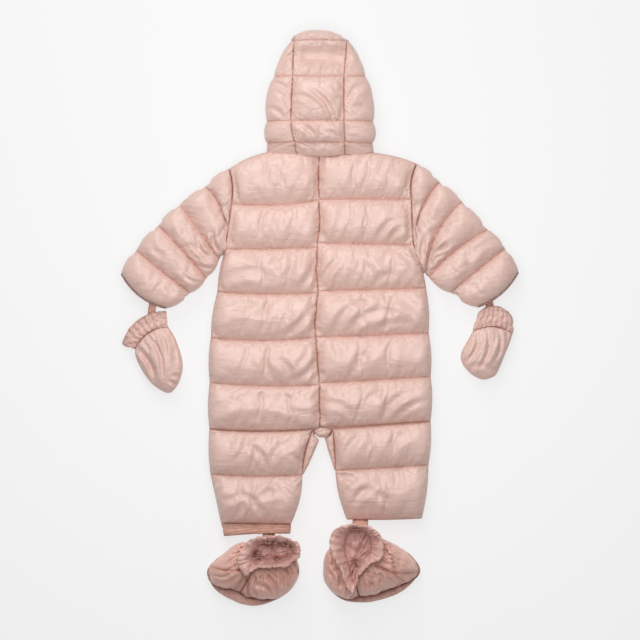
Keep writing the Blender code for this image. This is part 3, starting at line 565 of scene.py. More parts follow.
def smooth(piece):
    """One subdivision, applied, and smooth shading."""
    pick(piece)
    rounding = piece.modifiers.new("rounding", "SUBSURF")
    rounding.levels = rounding.render_levels = 1
    bpy.ops.object.modifier_apply(modifier=rounding.name)
    bpy.ops.object.shade_smooth()


AWAY_FROM_STITCHING = 0.02


def line_with_flat(piece, height):
    """Closes a panel with its flat lining at a height, sewn to the panel all round its edge."""
    pick(piece)
    bpy.ops.object.mode_set(mode="EDIT")
    bpy.ops.mesh.select_mode(type="EDGE")
    bpy.ops.mesh.select_all(action="DESELECT")
    bpy.ops.mesh.select_non_manifold(extend=False, use_boundary=True, use_wire=False, use_multi_face=False)
    bpy.ops.mesh.extrude_edges_move()
    bpy.ops.object.mode_set(mode="OBJECT")
    near = piece.data.attributes["near"].data
    for vertex in piece.data.vertices:
        if vertex.select:
            vertex.co.z = height
            near[vertex.index].value = AWAY_FROM_STITCHING
    bpy.ops.object.mode_set(mode="EDIT")
    bpy.ops.mesh.edge_face_add()
    bpy.ops.mesh.select_all(action="SELECT")
    bpy.ops.mesh.normals_make_consistent(inside=False)
    bpy.ops.object.mode_set(mode="OBJECT")


def finish_piece(piece, material, nodes):
    """Gives a padded piece its material, hangs it on the suit, and hides the nodes that it stands for."""
    piece.data.materials.clear()
    piece.data.materials.append(material)
    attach(piece, "suit")
    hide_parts(*nodes)


def depths(lines):
    """The channels between quilt lines: how deep each is down its middle, and how full."""
    return [Channel(abs(a.middle[1] - b.middle[1]), a.fullness) for a, b in zip(lines, lines[1:])]


BEAD_HEIGHT = 0.0042
BEAD_REACH = 0.0085


def gather_centre(piece):
    """Draws the cloth beside the centre seam into small uneven beads."""
    for vertex in piece.data.vertices:
        x, y, z = vertex.co
        away = abs(x - centre_seam(y))
        if y < -0.156 or away > 0.02 or away < 0.0004:
            continue
        beads = noise.noise(Vector((x * 25, y * 95, 4.0))) + 0.4 * noise.noise(Vector((x * 60, y * 210, 9.0)))
        fade = math.exp(-((away / BEAD_REACH) ** 2))
        vertex.co.z += BEAD_HEIGHT * beads * fade * min(1.0, away / 0.002)


for side, lines, creases in (("left", BACK_LEFT, LEFT_CREASES), ("right", BACK_RIGHT, RIGHT_CREASES)):
    surface = body_surface(lines, "right" if side == "left" else "left")
    back = lay_out(f"back_{side}", surface, depths(lines), 56, CELL, seed=3.0 if side == "left" else 11.0)
    fill(back)
    press_creases(back, creases)
    gather_centre(back)
    smooth(back)
    line_with_flat(back, BODY_MIDDLE + LINING_GAP)
    finish_piece(back, SHELL, [f"back_{side}"])


# The two front panels, which the suit lies on: cut, filled and quilted as the back is, with a straight edge
# at each side of the zip. The weight of the suit presses their channels flat.
FRONT_INNER = {"crotch": 0.004}
ZIP_X = -0.0020
ZIP_EDGE = 0.0115
FRONT_LINE_RISE = 0.0042
FRONT_WIDTH = 0.14


def front_lines(lines, sign):
    """The back's quilt lines, ending at the zip instead of at the centre seam."""
    fronts = []
    for line in lines:
        if line.name not in ("knee", "hem"):
            inner_x = ZIP_X + sign * FRONT_INNER.get(line.name, ZIP_EDGE)
            if sign < 0:
                line = line._replace(right=(inner_x, line.right[1]))
            else:
                line = line._replace(left=(inner_x, line.left[1]))
        fronts.append(line)
    return fronts


def front_height(side):
    return BODY_MIDDLE - SEAM_RISE - (FRONT_LINE_RISE - SEAM_RISE) * rounded(side, 0.02)


def flat_surface(lines, height):
    """The sewn-down surface of a panel with straight sides."""

    def surface(across, down):
        number = min(int(max(down, 0)), len(lines) - 2)
        share = down - number
        upper, lower = lines[number], lines[number + 1]
        start = bowed(upper.left, upper.middle, upper.right, across)
        point = start.lerp(bowed(lower.left, lower.middle, lower.right, across), share)
        side = max(0.0, min(across, 1 - across)) * FRONT_WIDTH
        return Vector((point.x, point.y, height(side)))

    return surface


FLOOR_GAP = 0.0003


def rest_on_floor(piece):
    """Presses what the filling has pushed below the floor flat against it."""
    for vertex in piece.data.vertices:
        vertex.co.z = max(FLOOR_GAP, vertex.co.z)


for side, lines, sign in (("left", BACK_LEFT, -1), ("right", BACK_RIGHT, 1)):
    lines = front_lines(lines, sign)
    surface = flat_surface(lines, front_height)
    front = lay_out(f"front_{side}", surface, depths(lines), 30, 0.0055, out=-1, seed=21.0 + sign)
    fill(front)
    rest_on_floor(front)
    smooth(front)
    line_with_flat(front, BODY_MIDDLE - LINING_GAP)
    finish_piece(front, SHELL, [f"front_{side}"])


# The half-round gusset at the crotch and the padded strip down the inside of each leg. They are small
# pieces of the same quilted cloth, sewn in between the two back panels where the legs part.
GUSSET_LEFT = -0.0110
GUSSET_RIGHT = 0.0172
GUSSET_TOP = -0.1560
GUSSET_DEPTH = 0.0156


def low_height(across):
    return BODY_MIDDLE + SEAM_RISE + 0.0012 * rounded(min(across, 1 - across), 0.3)


def gusset_surface(across, down):
    half = (GUSSET_RIGHT - GUSSET_LEFT) / 2
    inset = half * (1 - math.sqrt(max(0.0, 1 - (0.95 * down) ** 2)))
    x = GUSSET_LEFT + inset + (GUSSET_RIGHT - GUSSET_LEFT - 2 * inset) * across
    return Vector((x, GUSSET_TOP - GUSSET_DEPTH * down, low_height(across)))


gusset = lay_out("crotch_gusset", gusset_surface, [Channel(GUSSET_DEPTH, 0.006)], 16, 0.0012, seed=31.0)
fill(gusset, spare=0.03)
smooth(gusset)
line_with_flat(gusset, BODY_MIDDLE + LINING_GAP)
finish_piece(gusset, SHELL, ["crotch_gusset"])

# Each row: how far down the channel below the crotch line, and the X of the leg's inner edge there.
LEFT_EDGE = (
    (0.02, -0.0108), (0.10, -0.0095), (0.16, -0.0066), (0.21, -0.0014),
    (0.45, -0.0080), (0.72, -0.0155), (0.98, -0.0245),
)
RIGHT_EDGE = (
    (0.02, 0.0170), (0.10, 0.0156), (0.17, 0.0126), (0.23, 0.0072),
    (0.45, 0.0098), (0.72, 0.0150), (0.98, 0.0198),
)
STRIP_CHANNEL = Channel(0.048, 0.0075)
STRIP_GAP = 0.0004


def rise_between(to_free):
    """The strip's height from its seam on the back panel to the leg's inner edge."""
    return LEG_SEAM_RISE + (SEAM_RISE - LEG_SEAM_RISE) * to_free


def strip_surface(lines, edge, sign):
    back_edge = body_surface(lines, "right" if sign < 0 else "left")
    crotch = [line.name for line in lines].index("crotch")

    def surface(across, down):
        place = edge[0][0] + (edge[-1][0] - edge[0][0]) * down
        number = max(i for i in range(len(edge) - 1) if edge[i][0] <= place or i == 0)
        share = (place - edge[number][0]) / (edge[number + 1][0] - edge[number][0])
        free = edge[number][1] + (edge[number + 1][1] - edge[number][1]) * share
        sewn_edge = back_edge(1.0 if sign < 0 else 0.0, crotch + place)
        start, end = sewn_edge.x - sign * STRIP_GAP, free
        if sign > 0:
            start, end = end, start
        to_free = across if sign < 0 else 1 - across
        return Vector((start + (end - start) * across, sewn_edge.y, BODY_MIDDLE + rise_between(to_free)))

    return surface


for side, lines, edge in (("left", BACK_LEFT, LEFT_EDGE), ("right", BACK_RIGHT, RIGHT_EDGE)):
    surface = strip_surface(lines, edge, -1 if side == "left" else 1)
    strip = lay_out(f"inner_leg_{side}", surface, [STRIP_CHANNEL], 8, 0.0022, lean=0.25, seed=35.0)
    fill(strip, spare=0.05)
    smooth(strip)
    line_with_flat(strip, BODY_MIDDLE + LINING_GAP)
    finish_piece(strip, SHELL, [f"inner_leg_{side}"])


# The sleeves, set into the armholes. Each is a tube of quilted cloth whose quilt lines fan out from the
# underarm, and it lies pressed flat. The first line runs from the top of the sleeve into the armhole seam.
SleeveLine = namedtuple("SleeveLine", "name upper middle lower fullness")
LEFT_SLEEVE = (
    SleeveLine("cap", (-0.1669, 0.1914), (-0.1365, 0.1340), (-0.1442, 0.0912), 0.0115),
    SleeveLine("upper", (-0.2031, 0.1653), (-0.1721, 0.1211), (-0.1468, 0.0868), 0.0120),
    SleeveLine("elbow", (-0.2349, 0.1351), (-0.2031, 0.1018), (-0.1660, 0.0590), 0.0120),
    SleeveLine("lower", (-0.2668, 0.0989), (-0.2313, 0.0696), (-0.1898, 0.0380), 0.0110),
    SleeveLine("cuff", (-0.2885, 0.0667), (-0.2485, 0.0255), (-0.2226, 0.0160), 0),
)
RIGHT_SLEEVE = (
    SleeveLine("cap", (0.1729, 0.1981), (0.1385, 0.1310), (0.1509, 0.0675), 0.0115),
    SleeveLine("upper", (0.2055, 0.1699), (0.1655, 0.1160), (0.1528, 0.0650), 0.0120),
    SleeveLine("elbow", (0.2426, 0.1285), (0.1935, 0.0975), (0.1575, 0.0605), 0.0120),
    SleeveLine("lower", (0.2675, 0.1018), (0.2230, 0.0665), (0.1892, 0.0385), 0.0110),
    SleeveLine("cuff", (0.2865, 0.0690), (0.2495, 0.0285), (0.2270, 0.0175), 0),
)
CAP_CHANNEL = Channel(0.036, 0.0105)
SLEEVE_DEPTH = 0.038
ARMHOLE_GAP = 0.0005
CAP_SEWN_TO = {"left": 0.60, "right": 0.56}
LEFT_SLEEVE_CREASES = (
    Crease((-0.1480, 0.0980), (-0.1560, 0.1240), 0.0040, 0.0075),
    Crease((-0.1540, 0.0890), (-0.1840, 0.1060), 0.0042, 0.0045),
    Crease((-0.1500, 0.0820), (-0.1700, 0.0900), 0.0036, 0.0055),
    Crease((-0.1540, 0.0750), (-0.1740, 0.0770), 0.0036, 0.0055),
    Crease((-0.1580, 0.0660), (-0.1830, 0.0730), 0.0036, 0.0045),
    Crease((-0.1450, 0.1500), (-0.1560, 0.1780), 0.0055, 0.0020),
    Crease((-0.1900, 0.1220), (-0.2050, 0.1480), 0.0055, 0.0020),
    Crease((-0.2250, 0.0900), (-0.2450, 0.1100), 0.0050, 0.0018),
    Crease((-0.1960, 0.0520), (-0.2150, 0.0640), 0.0045, 0.0026),
    Crease((-0.1500, 0.0930), (-0.1700, 0.1240), 0.0035, 0.0042),
    Crease((-0.1560, 0.0880), (-0.1800, 0.1160), 0.0032, 0.0036),
    Crease((-0.1620, 0.0840), (-0.1880, 0.0960), 0.0032, 0.0040),
    Crease((-0.1680, 0.0600), (-0.1900, 0.0700), 0.0032, 0.0040),
    Crease((-0.1740, 0.0540), (-0.1980, 0.0640), 0.0030, 0.0030),
    Crease((-0.1700, 0.1000), (-0.1760, 0.1300), 0.0040, 0.0024),
    Crease((-0.1900, 0.0860), (-0.2120, 0.1060), 0.0045, 0.0024),
    Crease((-0.2300, 0.0300), (-0.2200, 0.0460), 0.0030, 0.0022),
    Crease((-0.2420, 0.0360), (-0.2300, 0.0500), 0.0030, 0.0020),
    Crease((-0.2080, 0.0380), (-0.2260, 0.0520), 0.0045, 0.0020),
)
RIGHT_SLEEVE_CREASES = (
    Crease((0.1500, 0.0840), (0.1510, 0.1160), 0.0042, 0.0055),
    Crease((0.1600, 0.0800), (0.1780, 0.1040), 0.0040, 0.0055),
    Crease((0.1550, 0.0740), (0.1640, 0.1000), 0.0036, 0.0048),
    Crease((0.1620, 0.0690), (0.1900, 0.0820), 0.0040, 0.0048),
    Crease((0.1520, 0.1500), (0.1620, 0.1740), 0.0055, 0.0020),
    Crease((0.1760, 0.1260), (0.1980, 0.1480), 0.0055, 0.0022),
    Crease((0.2200, 0.0900), (0.2400, 0.1100), 0.0050, 0.0020),
    Crease((0.1980, 0.0560), (0.2200, 0.0620), 0.0045, 0.0022),
    Crease((0.1580, 0.0860), (0.1720, 0.1160), 0.0034, 0.0040),
    Crease((0.1620, 0.0760), (0.1840, 0.0960), 0.0032, 0.0040),
    Crease((0.1660, 0.0640), (0.1880, 0.0720), 0.0032, 0.0036),
    Crease((0.1740, 0.0920), (0.1900, 0.1120), 0.0040, 0.0024),
    Crease((0.1900, 0.0800), (0.2120, 0.0920), 0.0045, 0.0022),
    Crease((0.2300, 0.0360), (0.2220, 0.0520), 0.0030, 0.0022),
    Crease((0.2120, 0.0360), (0.2320, 0.0520), 0.0045, 0.0022),
)


def ring_share(across):
    """Where a point of a flattened ring lies between its edges, and its side: 1 on top, -1 beneath."""
    return 0.5 - 0.5 * math.cos(2 * math.pi * across), 1 if across % 1.0 < 0.5 else -1


def tube_ends(across, width):
    share, _ = ring_share(across)
    return 0.10 + 0.90 * rounded(min(share, 1 - share) * width / 2, 0.02)


def sleeve_surface(side, lines, body_lines):
    body = body_surface(body_lines, "right" if side == "left" else "left")
    sign = -1 if side == "left" else 1

    def plan(line, share):
        if line == 0:
            point = body(0.0 if side == "left" else 1.0, ARMHOLE_END[side] * share)
            return Vector((point.x + sign * ARMHOLE_GAP, point.y))
        row = lines[line - 1]
        return bowed(row.upper, row.middle, row.lower, share)

    def surface(across, down):
        number = min(int(max(down, 0)), len(lines) - 1)
        share, up = ring_share(across)
        point = plan(number, share).lerp(plan(number + 1, share), down - number)
        rise = LINE_RISE + (ARMHOLE_RISE - LINE_RISE) * max(0.0, 1 - down)
        return Vector((point.x, point.y, BODY_MIDDLE + up * ring_height(share, rise)))

    return surface


def wall_in(piece, thickness):
    """Gives open cloth its thickness, inwards."""
    pick(piece)
    bpy.ops.object.mode_set(mode="EDIT")
    bpy.ops.mesh.select_all(action="SELECT")
    bpy.ops.mesh.remove_doubles(threshold=0.00002)
    bpy.ops.object.mode_set(mode="OBJECT")
    wall = piece.modifiers.new("wall", "SOLIDIFY")
    wall.thickness = thickness
    wall.offset = -1
    bpy.ops.object.modifier_apply(modifier=wall.name)


SLEEVES = (
    ("left", LEFT_SLEEVE, BACK_LEFT, LEFT_SLEEVE_CREASES, 1, 41.0),
    ("right", RIGHT_SLEEVE, BACK_RIGHT, RIGHT_SLEEVE_CREASES, -1, 47.0),
)
for side, lines, body_lines, creases, out, seed in SLEEVES:
    channels = [CAP_CHANNEL] + [Channel(SLEEVE_DEPTH, line.fullness) for line in lines[:-1]]

    def sewn(across, line, sewn_to=CAP_SEWN_TO[side]):
        share, up = ring_share(across)
        return line != 1 or up < 0 or share < sewn_to

    sleeve = lay_out(
        f"sleeve_{side}", sleeve_surface(side, lines, body_lines), channels, 84, CELL,
        out=out, ends=tube_ends, sewn=sewn, around=True, lean=0.12, seed=seed,
    )
    fill(sleeve, spare=0.06)
    rest_on_floor(sleeve)
    press_creases(sleeve, creases)
    smooth(sleeve)
    wall_in(sleeve, thickness=0.0022)
    finish_piece(sleeve, SHELL, [f"sleeve_{side}"])


# The narrow turned hem at the end of each sleeve: a folded strip of the same cloth over elastic, sewn to
# the last quilt line and mostly drawn up inside the sleeve.
HEM_DEPTH = 0.0046
HEM_RISE = 0.0036
HEM_TUCK = 0.0022


def plain_ends(across, width):
    return 1.0


def hem_surface(surface, rows):
    """A short tube that carries on from the last row of a sleeve."""

    def extended(across, down):
        share, up = ring_share(across)
        last = surface(across, rows)
        before = surface(across, rows - 0.05)
        onwards = Vector((last.x - before.x, last.y - before.y)).normalized()
        point = last.xy + onwards * (HEM_DEPTH * down - HEM_TUCK)
        return Vector((point.x, point.y, BODY_MIDDLE + up * ring_height(share, HEM_RISE)))

    return extended


for side, lines, body_lines, creases, out, seed in SLEEVES:
    surface = hem_surface(sleeve_surface(side, lines, body_lines), len(lines) - 0.0001)
    hem = lay_out(
        f"sleeve_hem_{side}", surface, [Channel(HEM_DEPTH, 0.0012)], 84, 0.0012,
        out=out, ends=plain_ends, around=True, lean=0, seed=seed,
    )
    fill(hem, spare=0.03, frames=6)
    smooth(hem)
    wall_in(hem, thickness=0.0015)
    finish_piece(hem, SHELL, [f"sleeve_hem_{side}"])


# The band at the left ankle: smooth doubled cloth over elastic, sewn to the gathered hem and flaring a
# little below it. The right leg ends in a plain turned hem.
BandRow = namedtuple("BandRow", "left right rise")
ANKLE_BAND = (
    BandRow((-0.1440, -0.2962), (-0.0428, -0.2972), 0.0060),
    BandRow((-0.1425, -0.3040), (-0.0432, -0.3050), 0.0085),
    BandRow((-0.1400, -0.3147), (-0.0440, -0.3112), 0.0095),
)


def band_surface(across, down):
    number = min(int(max(down, 0)), len(ANKLE_BAND) - 2)
    share, up = ring_share(across)
    upper, lower = ANKLE_BAND[number], ANKLE_BAND[number + 1]
    part = down - number
    left = Vector(upper.left).lerp(Vector(lower.left), part)
    right = Vector(upper.right).lerp(Vector(lower.right), part)
    rise = upper.rise + (lower.rise - upper.rise) * part
    point = left.lerp(right, share)
    sag = 0.002 * math.sin(math.pi * share) * down / 2
    wave = 0.0011 * math.sin(share * 21) * noise.noise(Vector((share * 5, 3.3, up)))
    return Vector((point.x, point.y + sag, BODY_MIDDLE + up * (ring_height(share, rise) + wave)))


BAND = satin(
    "band_satin",
    light=(0.68, 0.39, 0.305, 1),
    shade=(0.60, 0.315, 0.24, 1),
    thread=(0.52, 0.22, 0.15, 1),
    roughness=0.46,
    crinkle=0.0008,
)
BAND_CHANNEL = Channel(0.009, 0.0008)
BAND_CREASES = (
    Crease((-0.1290, -0.2990), (-0.1270, -0.3120), 0.0022, 0.0016),
    Crease((-0.0960, -0.2985), (-0.0985, -0.3110), 0.0020, 0.0014),
    Crease((-0.0740, -0.2990), (-0.0680, -0.3100), 0.0022, 0.0016),
)
band = lay_out(
    "ankle_band_left", band_surface, [BAND_CHANNEL, BAND_CHANNEL], 90, 0.0020,
    ends=plain_ends, sewn=lambda across, line: line != 1, around=True, lean=0, seed=51.0,
)
fill(band, spare=0.03, pressure=100, frames=6)
rest_on_floor(band)
press_creases(band, BAND_CREASES)
smooth(band)
wall_in(band, thickness=0.0018)
finish_piece(band, BAND, ["ankle_band_left"])


# The hood: a centre panel over the top of the head and a side panel on each side, quilted across like the
# body, and sewn to the neck. It lies on its face opening, whose edge is bound. Each row of the table is a
# quilt line.
HoodLine = namedtuple("HoodLine", "name y left right left_seam right_seam face top fullness")
HOOD = (
    HoodLine("neck", 0.2375, 0.0775, 0.0770, 0.0340, 0.0350, 0.040, 0.0300, 0.0050),
    HoodLine("fold", 0.2548, 0.0770, 0.0752, 0.0375, 0.0350, 0.042, 0.0430, 0.0095),
    HoodLine("back", 0.2857, 0.0772, 0.0756, 0.0425, 0.0340, 0.044, 0.0520, 0.0125),
    HoodLine("crown", 0.3502, 0.0668, 0.0650, 0.0400, 0.0340, 0.043, 0.0500, 0.0080),
    HoodLine("top", 0.4020, 0.0425, 0.0412, 0.0385, 0.0385, 0.0397, 0.0470, 0),
)
HOOD_SQUARENESS = 2.5
HOOD_SEAM_GAP = 0.0001
HOOD_CELL = 0.0023


def smooth_curve(before, one, other, after, share):
    """What lies at a share of the way from one to the other, on a smooth curve through all four."""
    return (
        one
        + (other - before) * 0.5 * share
        + (before * 2 - one * 5 + other * 4 - after) * 0.5 * share**2
        + (one * 3 - before - other * 3 + after) * 0.5 * share**3
    )


def hood_row(down):
    """The hood's line at a number of channels from the neck, on smooth curves through the table."""
    number = min(int(max(down, 0)), len(HOOD) - 2)
    share = down - number
    four = [HOOD[min(max(0, number + step), len(HOOD) - 1)][1:] for step in (-1, 0, 1, 2)]
    return HoodLine("row", *(smooth_curve(*values, share) for values in zip(*four)))


def hood_height(row, x):
    half = row.left if x < 0 else row.right
    drop = min(1.0, abs(x) / half) ** HOOD_SQUARENESS
    return row.top / 2 * (1 + (1 - drop) ** (1 / HOOD_SQUARENESS))


def crown_reach(x):
    """How far past the top line the end of the crown stands: it is round, and fuller to the left."""
    return 0.0118 - 4.0 * (x + 0.010) ** 2


def hood_centre_surface(across, down):
    main = len(HOOD) - 1
    row = hood_row(min(down, main))
    x = -row.left_seam + (row.left_seam + row.right_seam) * across
    height = hood_height(row, x)
    sag = 0.0035 * math.sin(math.pi * across) * max(0.0, 1 - down)
    if down <= main:
        return Vector((x, row.y - sag, height))
    turn = math.pi * (down - main) / 2
    middle = row.top / 2
    return Vector((x, row.y + crown_reach(x) * math.sin(turn), middle + (height - middle) * math.cos(turn)))


def hood_side_surface(sign):
    def surface(across, down):
        main = len(HOOD) - 1
        row = hood_row(min(down, main))
        half = row.left if sign < 0 else row.right
        seam = (row.left_seam if sign < 0 else row.right_seam) + HOOD_SEAM_GAP
        power = 2 / HOOD_SQUARENESS
        start = math.acos(min(1.0, seam / half) ** (1 / power))
        end = -math.acos(min(1.0, row.face / half) ** (1 / power))
        angle = start + (end - start) * across
        x = half * math.cos(angle) ** power
        z = row.top / 2 * (1 + math.copysign(abs(math.sin(angle)) ** power, angle))
        y = row.y
        if down > main:
            turn = math.pi / 2 * (down - main)
            x = seam + (x - seam) * math.cos(turn)
            z = row.top / 2 + (z - row.top / 2) * math.cos(turn)
            y += 0.75 * crown_reach(sign * seam) * math.sin(turn)
        return Vector((sign * x, y, z))

    return surface


HOOD_CREASES = (
    Crease((-0.0600, 0.3600), (-0.0340, 0.3840), 0.0040, 0.0034),
    Crease((-0.0560, 0.3560), (-0.0400, 0.3700), 0.0030, 0.0022),
    Crease((-0.0680, 0.3400), (-0.0420, 0.3220), 0.0040, 0.0034),
    Crease((-0.0640, 0.3300), (-0.0440, 0.3000), 0.0036, 0.0024),
    Crease((-0.0420, 0.3210), (-0.0100, 0.3110), 0.0042, 0.0030),
    Crease((-0.0110, 0.3280), (0.0190, 0.2880), 0.0036, 0.0040),
    Crease((-0.0050, 0.3220), (0.0120, 0.2980), 0.0026, 0.0024),
    Crease((0.0300, 0.2890), (0.0570, 0.3340), 0.0042, 0.0036),
    Crease((0.0420, 0.3220), (0.0540, 0.3380), 0.0030, 0.0024),
    Crease((0.0300, 0.3260), (0.0180, 0.3340), 0.0034, 0.0024),
    Crease((-0.0380, 0.2840), (-0.0080, 0.2580), 0.0038, 0.0036),
    Crease((-0.0260, 0.2740), (-0.0080, 0.2660), 0.0030, 0.0024),
    Crease((0.0060, 0.2700), (0.0260, 0.2600), 0.0036, 0.0024),
    Crease((0.0440, 0.2740), (0.0680, 0.2660), 0.0036, 0.0024),
    Crease((-0.0720, 0.3040), (-0.0540, 0.2900), 0.0040, 0.0024),
    Crease((-0.0160, 0.3520), (-0.0080, 0.3640), 0.0034, 0.0022),
    Crease((0.0020, 0.3540), (0.0120, 0.3700), 0.0036, 0.0026),
    Crease((0.0360, 0.3620), (0.0420, 0.3740), 0.0034, 0.0026),
    Crease((0.0460, 0.3060), (0.0680, 0.3000), 0.0040, 0.0020),
)

# Where the empty hood sinks in below its stiff brim: the middle of each hollow, its reach and its rise.
Mound = namedtuple("Mound", "middle reach rise")
HOOD_HOLLOWS = (
    Mound((-0.0230, 0.3800), 0.0150, -0.0150),
    Mound((0.0000, 0.3790), 0.0180, -0.0190),
    Mound((0.0240, 0.3780), 0.0150, -0.0150),
)


def raise_mounds(piece, mounds, ceiling, facing=1):
    """Lifts the cloth that faces up (1) or down (-1) round each mound, where it lies below the ceiling."""
    for vertex in piece.data.vertices:
        if vertex.normal.z * facing < 0.05 or vertex.co.z > ceiling:
            continue
        for mound in mounds:
            away = (vertex.co.xy - Vector(mound.middle)).length / mound.reach
            vertex.co.z += mound.rise * math.exp(-(away**2))


def hood_ends(across, width):
    """The centre panel's channels come down a little way to its two long seams."""
    return 0.62 * math.sin(math.pi / 2 * min(1.0, min(across, 1 - across) * width / 0.024))


def hood_side_ends(across, width):
    """A side panel's channels are fullest on top, and flatter where the panel turns under."""
    to_seam = math.sin(math.pi / 2 * min(1.0, across * width / 0.024))
    return to_seam * (0.42 + 0.30 * math.exp(-((across / 0.32) ** 2))) * min(1.0, (1 - across) * 12)


CROWN_END = Channel(0.026, 0.004)


def hood_channels(count):
    """The channels between the hood's lines, then so many more round the end of the crown."""
    return [Channel(abs(a.y - b.y), a.fullness) for a, b in zip(HOOD, HOOD[1:])] + [CROWN_END] * count


def gather_hood_seams(piece):
    """Small puckers along the two long seams of the hood."""
    for vertex in piece.data.vertices:
        x, y, z = vertex.co
        if not 0.245 < y < 0.405 or vertex.normal.z < 0.2:
            continue
        row = hood_row(sum(max(0.0, min(1.0, (y - a.y) / (b.y - a.y))) for a, b in zip(HOOD, HOOD[1:])))
        away = min(abs(x + row.left_seam), abs(x - row.right_seam))
        beads = noise.noise(Vector((x * 30, y * 100, 2.0)))
        vertex.co.z += 0.0030 * beads * math.exp(-((away / 0.006) ** 2)) * min(1.0, away / 0.0015)


centre = lay_out(
    "hood_centre", hood_centre_surface, hood_channels(2), 34, HOOD_CELL, out=-1,
    ends=hood_ends, sewn=lambda across, line: line != 5, lean=0.08, seed=61.0,
)
hood_parts = [("centre", centre)]
for side, sign in (("left", -1), ("right", 1)):
    panel = lay_out(
        f"hood_{side}", hood_side_surface(sign), hood_channels(1), 40, HOOD_CELL, out=-sign,
        ends=hood_side_ends, lean=0.10, seed=65.0 + sign,
    )
    hood_parts.append((side, panel))
for side, panel in hood_parts:
    fill(panel, pressure=160, spare=0.05)
    rest_on_floor(panel)
    raise_mounds(panel, HOOD_HOLLOWS, ceiling=1.0)
    press_creases(panel, HOOD_CREASES)
    gather_hood_seams(panel)
    smooth(panel)
    wall_in(panel, thickness=0.0025)
    rest_on_floor(panel)
    finish_piece(panel, SHELL, [f"hood_{side}"])


# The binding of the face opening: a narrow strip of band cloth folded over the edge of the hood, all round
# but at the neck, lying flat under the hood.
BINDING_WIDTH = 0.0056
BINDING_MIDDLE = 0.0021
BINDING_RISE = 0.0012
BINDING_LENGTH = 0.40
BRIM_START = 0.395


def binding_path(along):
    """The outer edge of the binding: up one side of the face opening, across the brim and down the other."""
    rows = [(-row.face, row.y) for row in HOOD] + [(row.face, row.y) for row in HOOD[::-1]]
    place = along * (len(rows) - 1)
    number = min(int(place), len(rows) - 2)
    one, other = Vector(rows[number]), Vector(rows[number + 1])
    return one.lerp(other, place - number)


def binding_surface(across, down):
    point = binding_path(down)
    sideways = -math.copysign(1, point.x) if abs(point.x) > 0.001 else 0
    inwards = Vector((sideways, -1 if point.y > BRIM_START else 0))
    point = point + inwards * (0.0006 + BINDING_WIDTH * abs(1 - 2 * across))
    return Vector((point.x, point.y, BINDING_MIDDLE + BINDING_RISE * math.cos(math.pi * across)))


binding = lay_out(
    "hood_binding", binding_surface, [Channel(BINDING_LENGTH, 0.0)], 8, 0.0040,
    ends=plain_ends, lean=0, seed=71.0,
)
forget_cut(binding)
smooth(binding)
wall_in(binding, thickness=0.0006)
binding.data.materials.append(BAND)
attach(binding, "suit")
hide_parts("hood_binding")


# The mittens: a back and a palm of padded cloth sewn together round the edge, with a gathered cuff. Each
# hangs from a short tab under the sleeve hem. Each row of the tables is a section from left to right.
HandRow = namedtuple("HandRow", "name left middle right")
LEFT_HAND = (
    HandRow("wrist", (-0.2688, -0.0433), (-0.2472, -0.0183), (-0.2210, -0.0118)),
    HandRow("palm", (-0.2678, -0.0560), (-0.2430, -0.0400), (-0.2110, -0.0280)),
    HandRow("knuckle", (-0.2575, -0.0770), (-0.2290, -0.0640), (-0.2015, -0.0560)),
    HandRow("finger", (-0.2460, -0.0925), (-0.2230, -0.0830), (-0.2003, -0.0745)),
    HandRow("tip", (-0.2350, -0.1015), (-0.2200, -0.0985), (-0.2065, -0.0945)),
    HandRow("end", (-0.2255, -0.1065), (-0.2200, -0.1075), (-0.2145, -0.1050)),
)
RIGHT_HAND = (
    HandRow("wrist", (0.2213, -0.0178), (0.2500, -0.0108), (0.2787, -0.0208)),
    HandRow("palm", (0.2135, -0.0320), (0.2450, -0.0280), (0.2745, -0.0350)),
    HandRow("knuckle", (0.2045, -0.0490), (0.2370, -0.0490), (0.2680, -0.0510)),
    HandRow("finger", (0.2055, -0.0640), (0.2350, -0.0680), (0.2610, -0.0680)),
    HandRow("tip", (0.2180, -0.0795), (0.2360, -0.0830), (0.2540, -0.0815)),
    HandRow("end", (0.2300, -0.0865), (0.2375, -0.0880), (0.2440, -0.0868)),
)
LEFT_CUFF = (
    HandRow("free edge", (-0.2880, -0.0360), (-0.2640, -0.0010), (-0.2240, 0.0115)),
    HandRow("middle", (-0.2800, -0.0410), (-0.2560, -0.0100), (-0.2220, 0.0000)),
    HandRow("wrist", (-0.2690, -0.0437), (-0.2475, -0.0187), (-0.2208, -0.0122)),
)
RIGHT_CUFF = (
    HandRow("free edge", (0.2300, 0.0105), (0.2530, 0.0190), (0.2780, 0.0040)),
    HandRow("middle", (0.2235, -0.0035), (0.2510, 0.0030), (0.2800, -0.0100)),
    HandRow("wrist", (0.2212, -0.0182), (0.2500, -0.0112), (0.2788, -0.0212)),
)
MITTEN_MIDDLE = 0.0145
HAND_CHANNEL = Channel(0.085, 0.0105)
HAND_CELL = {"back": 0.0022, "palm": 0.004}
MITTEN_CUFF_CHANNEL = Channel(0.011, 0.0012)
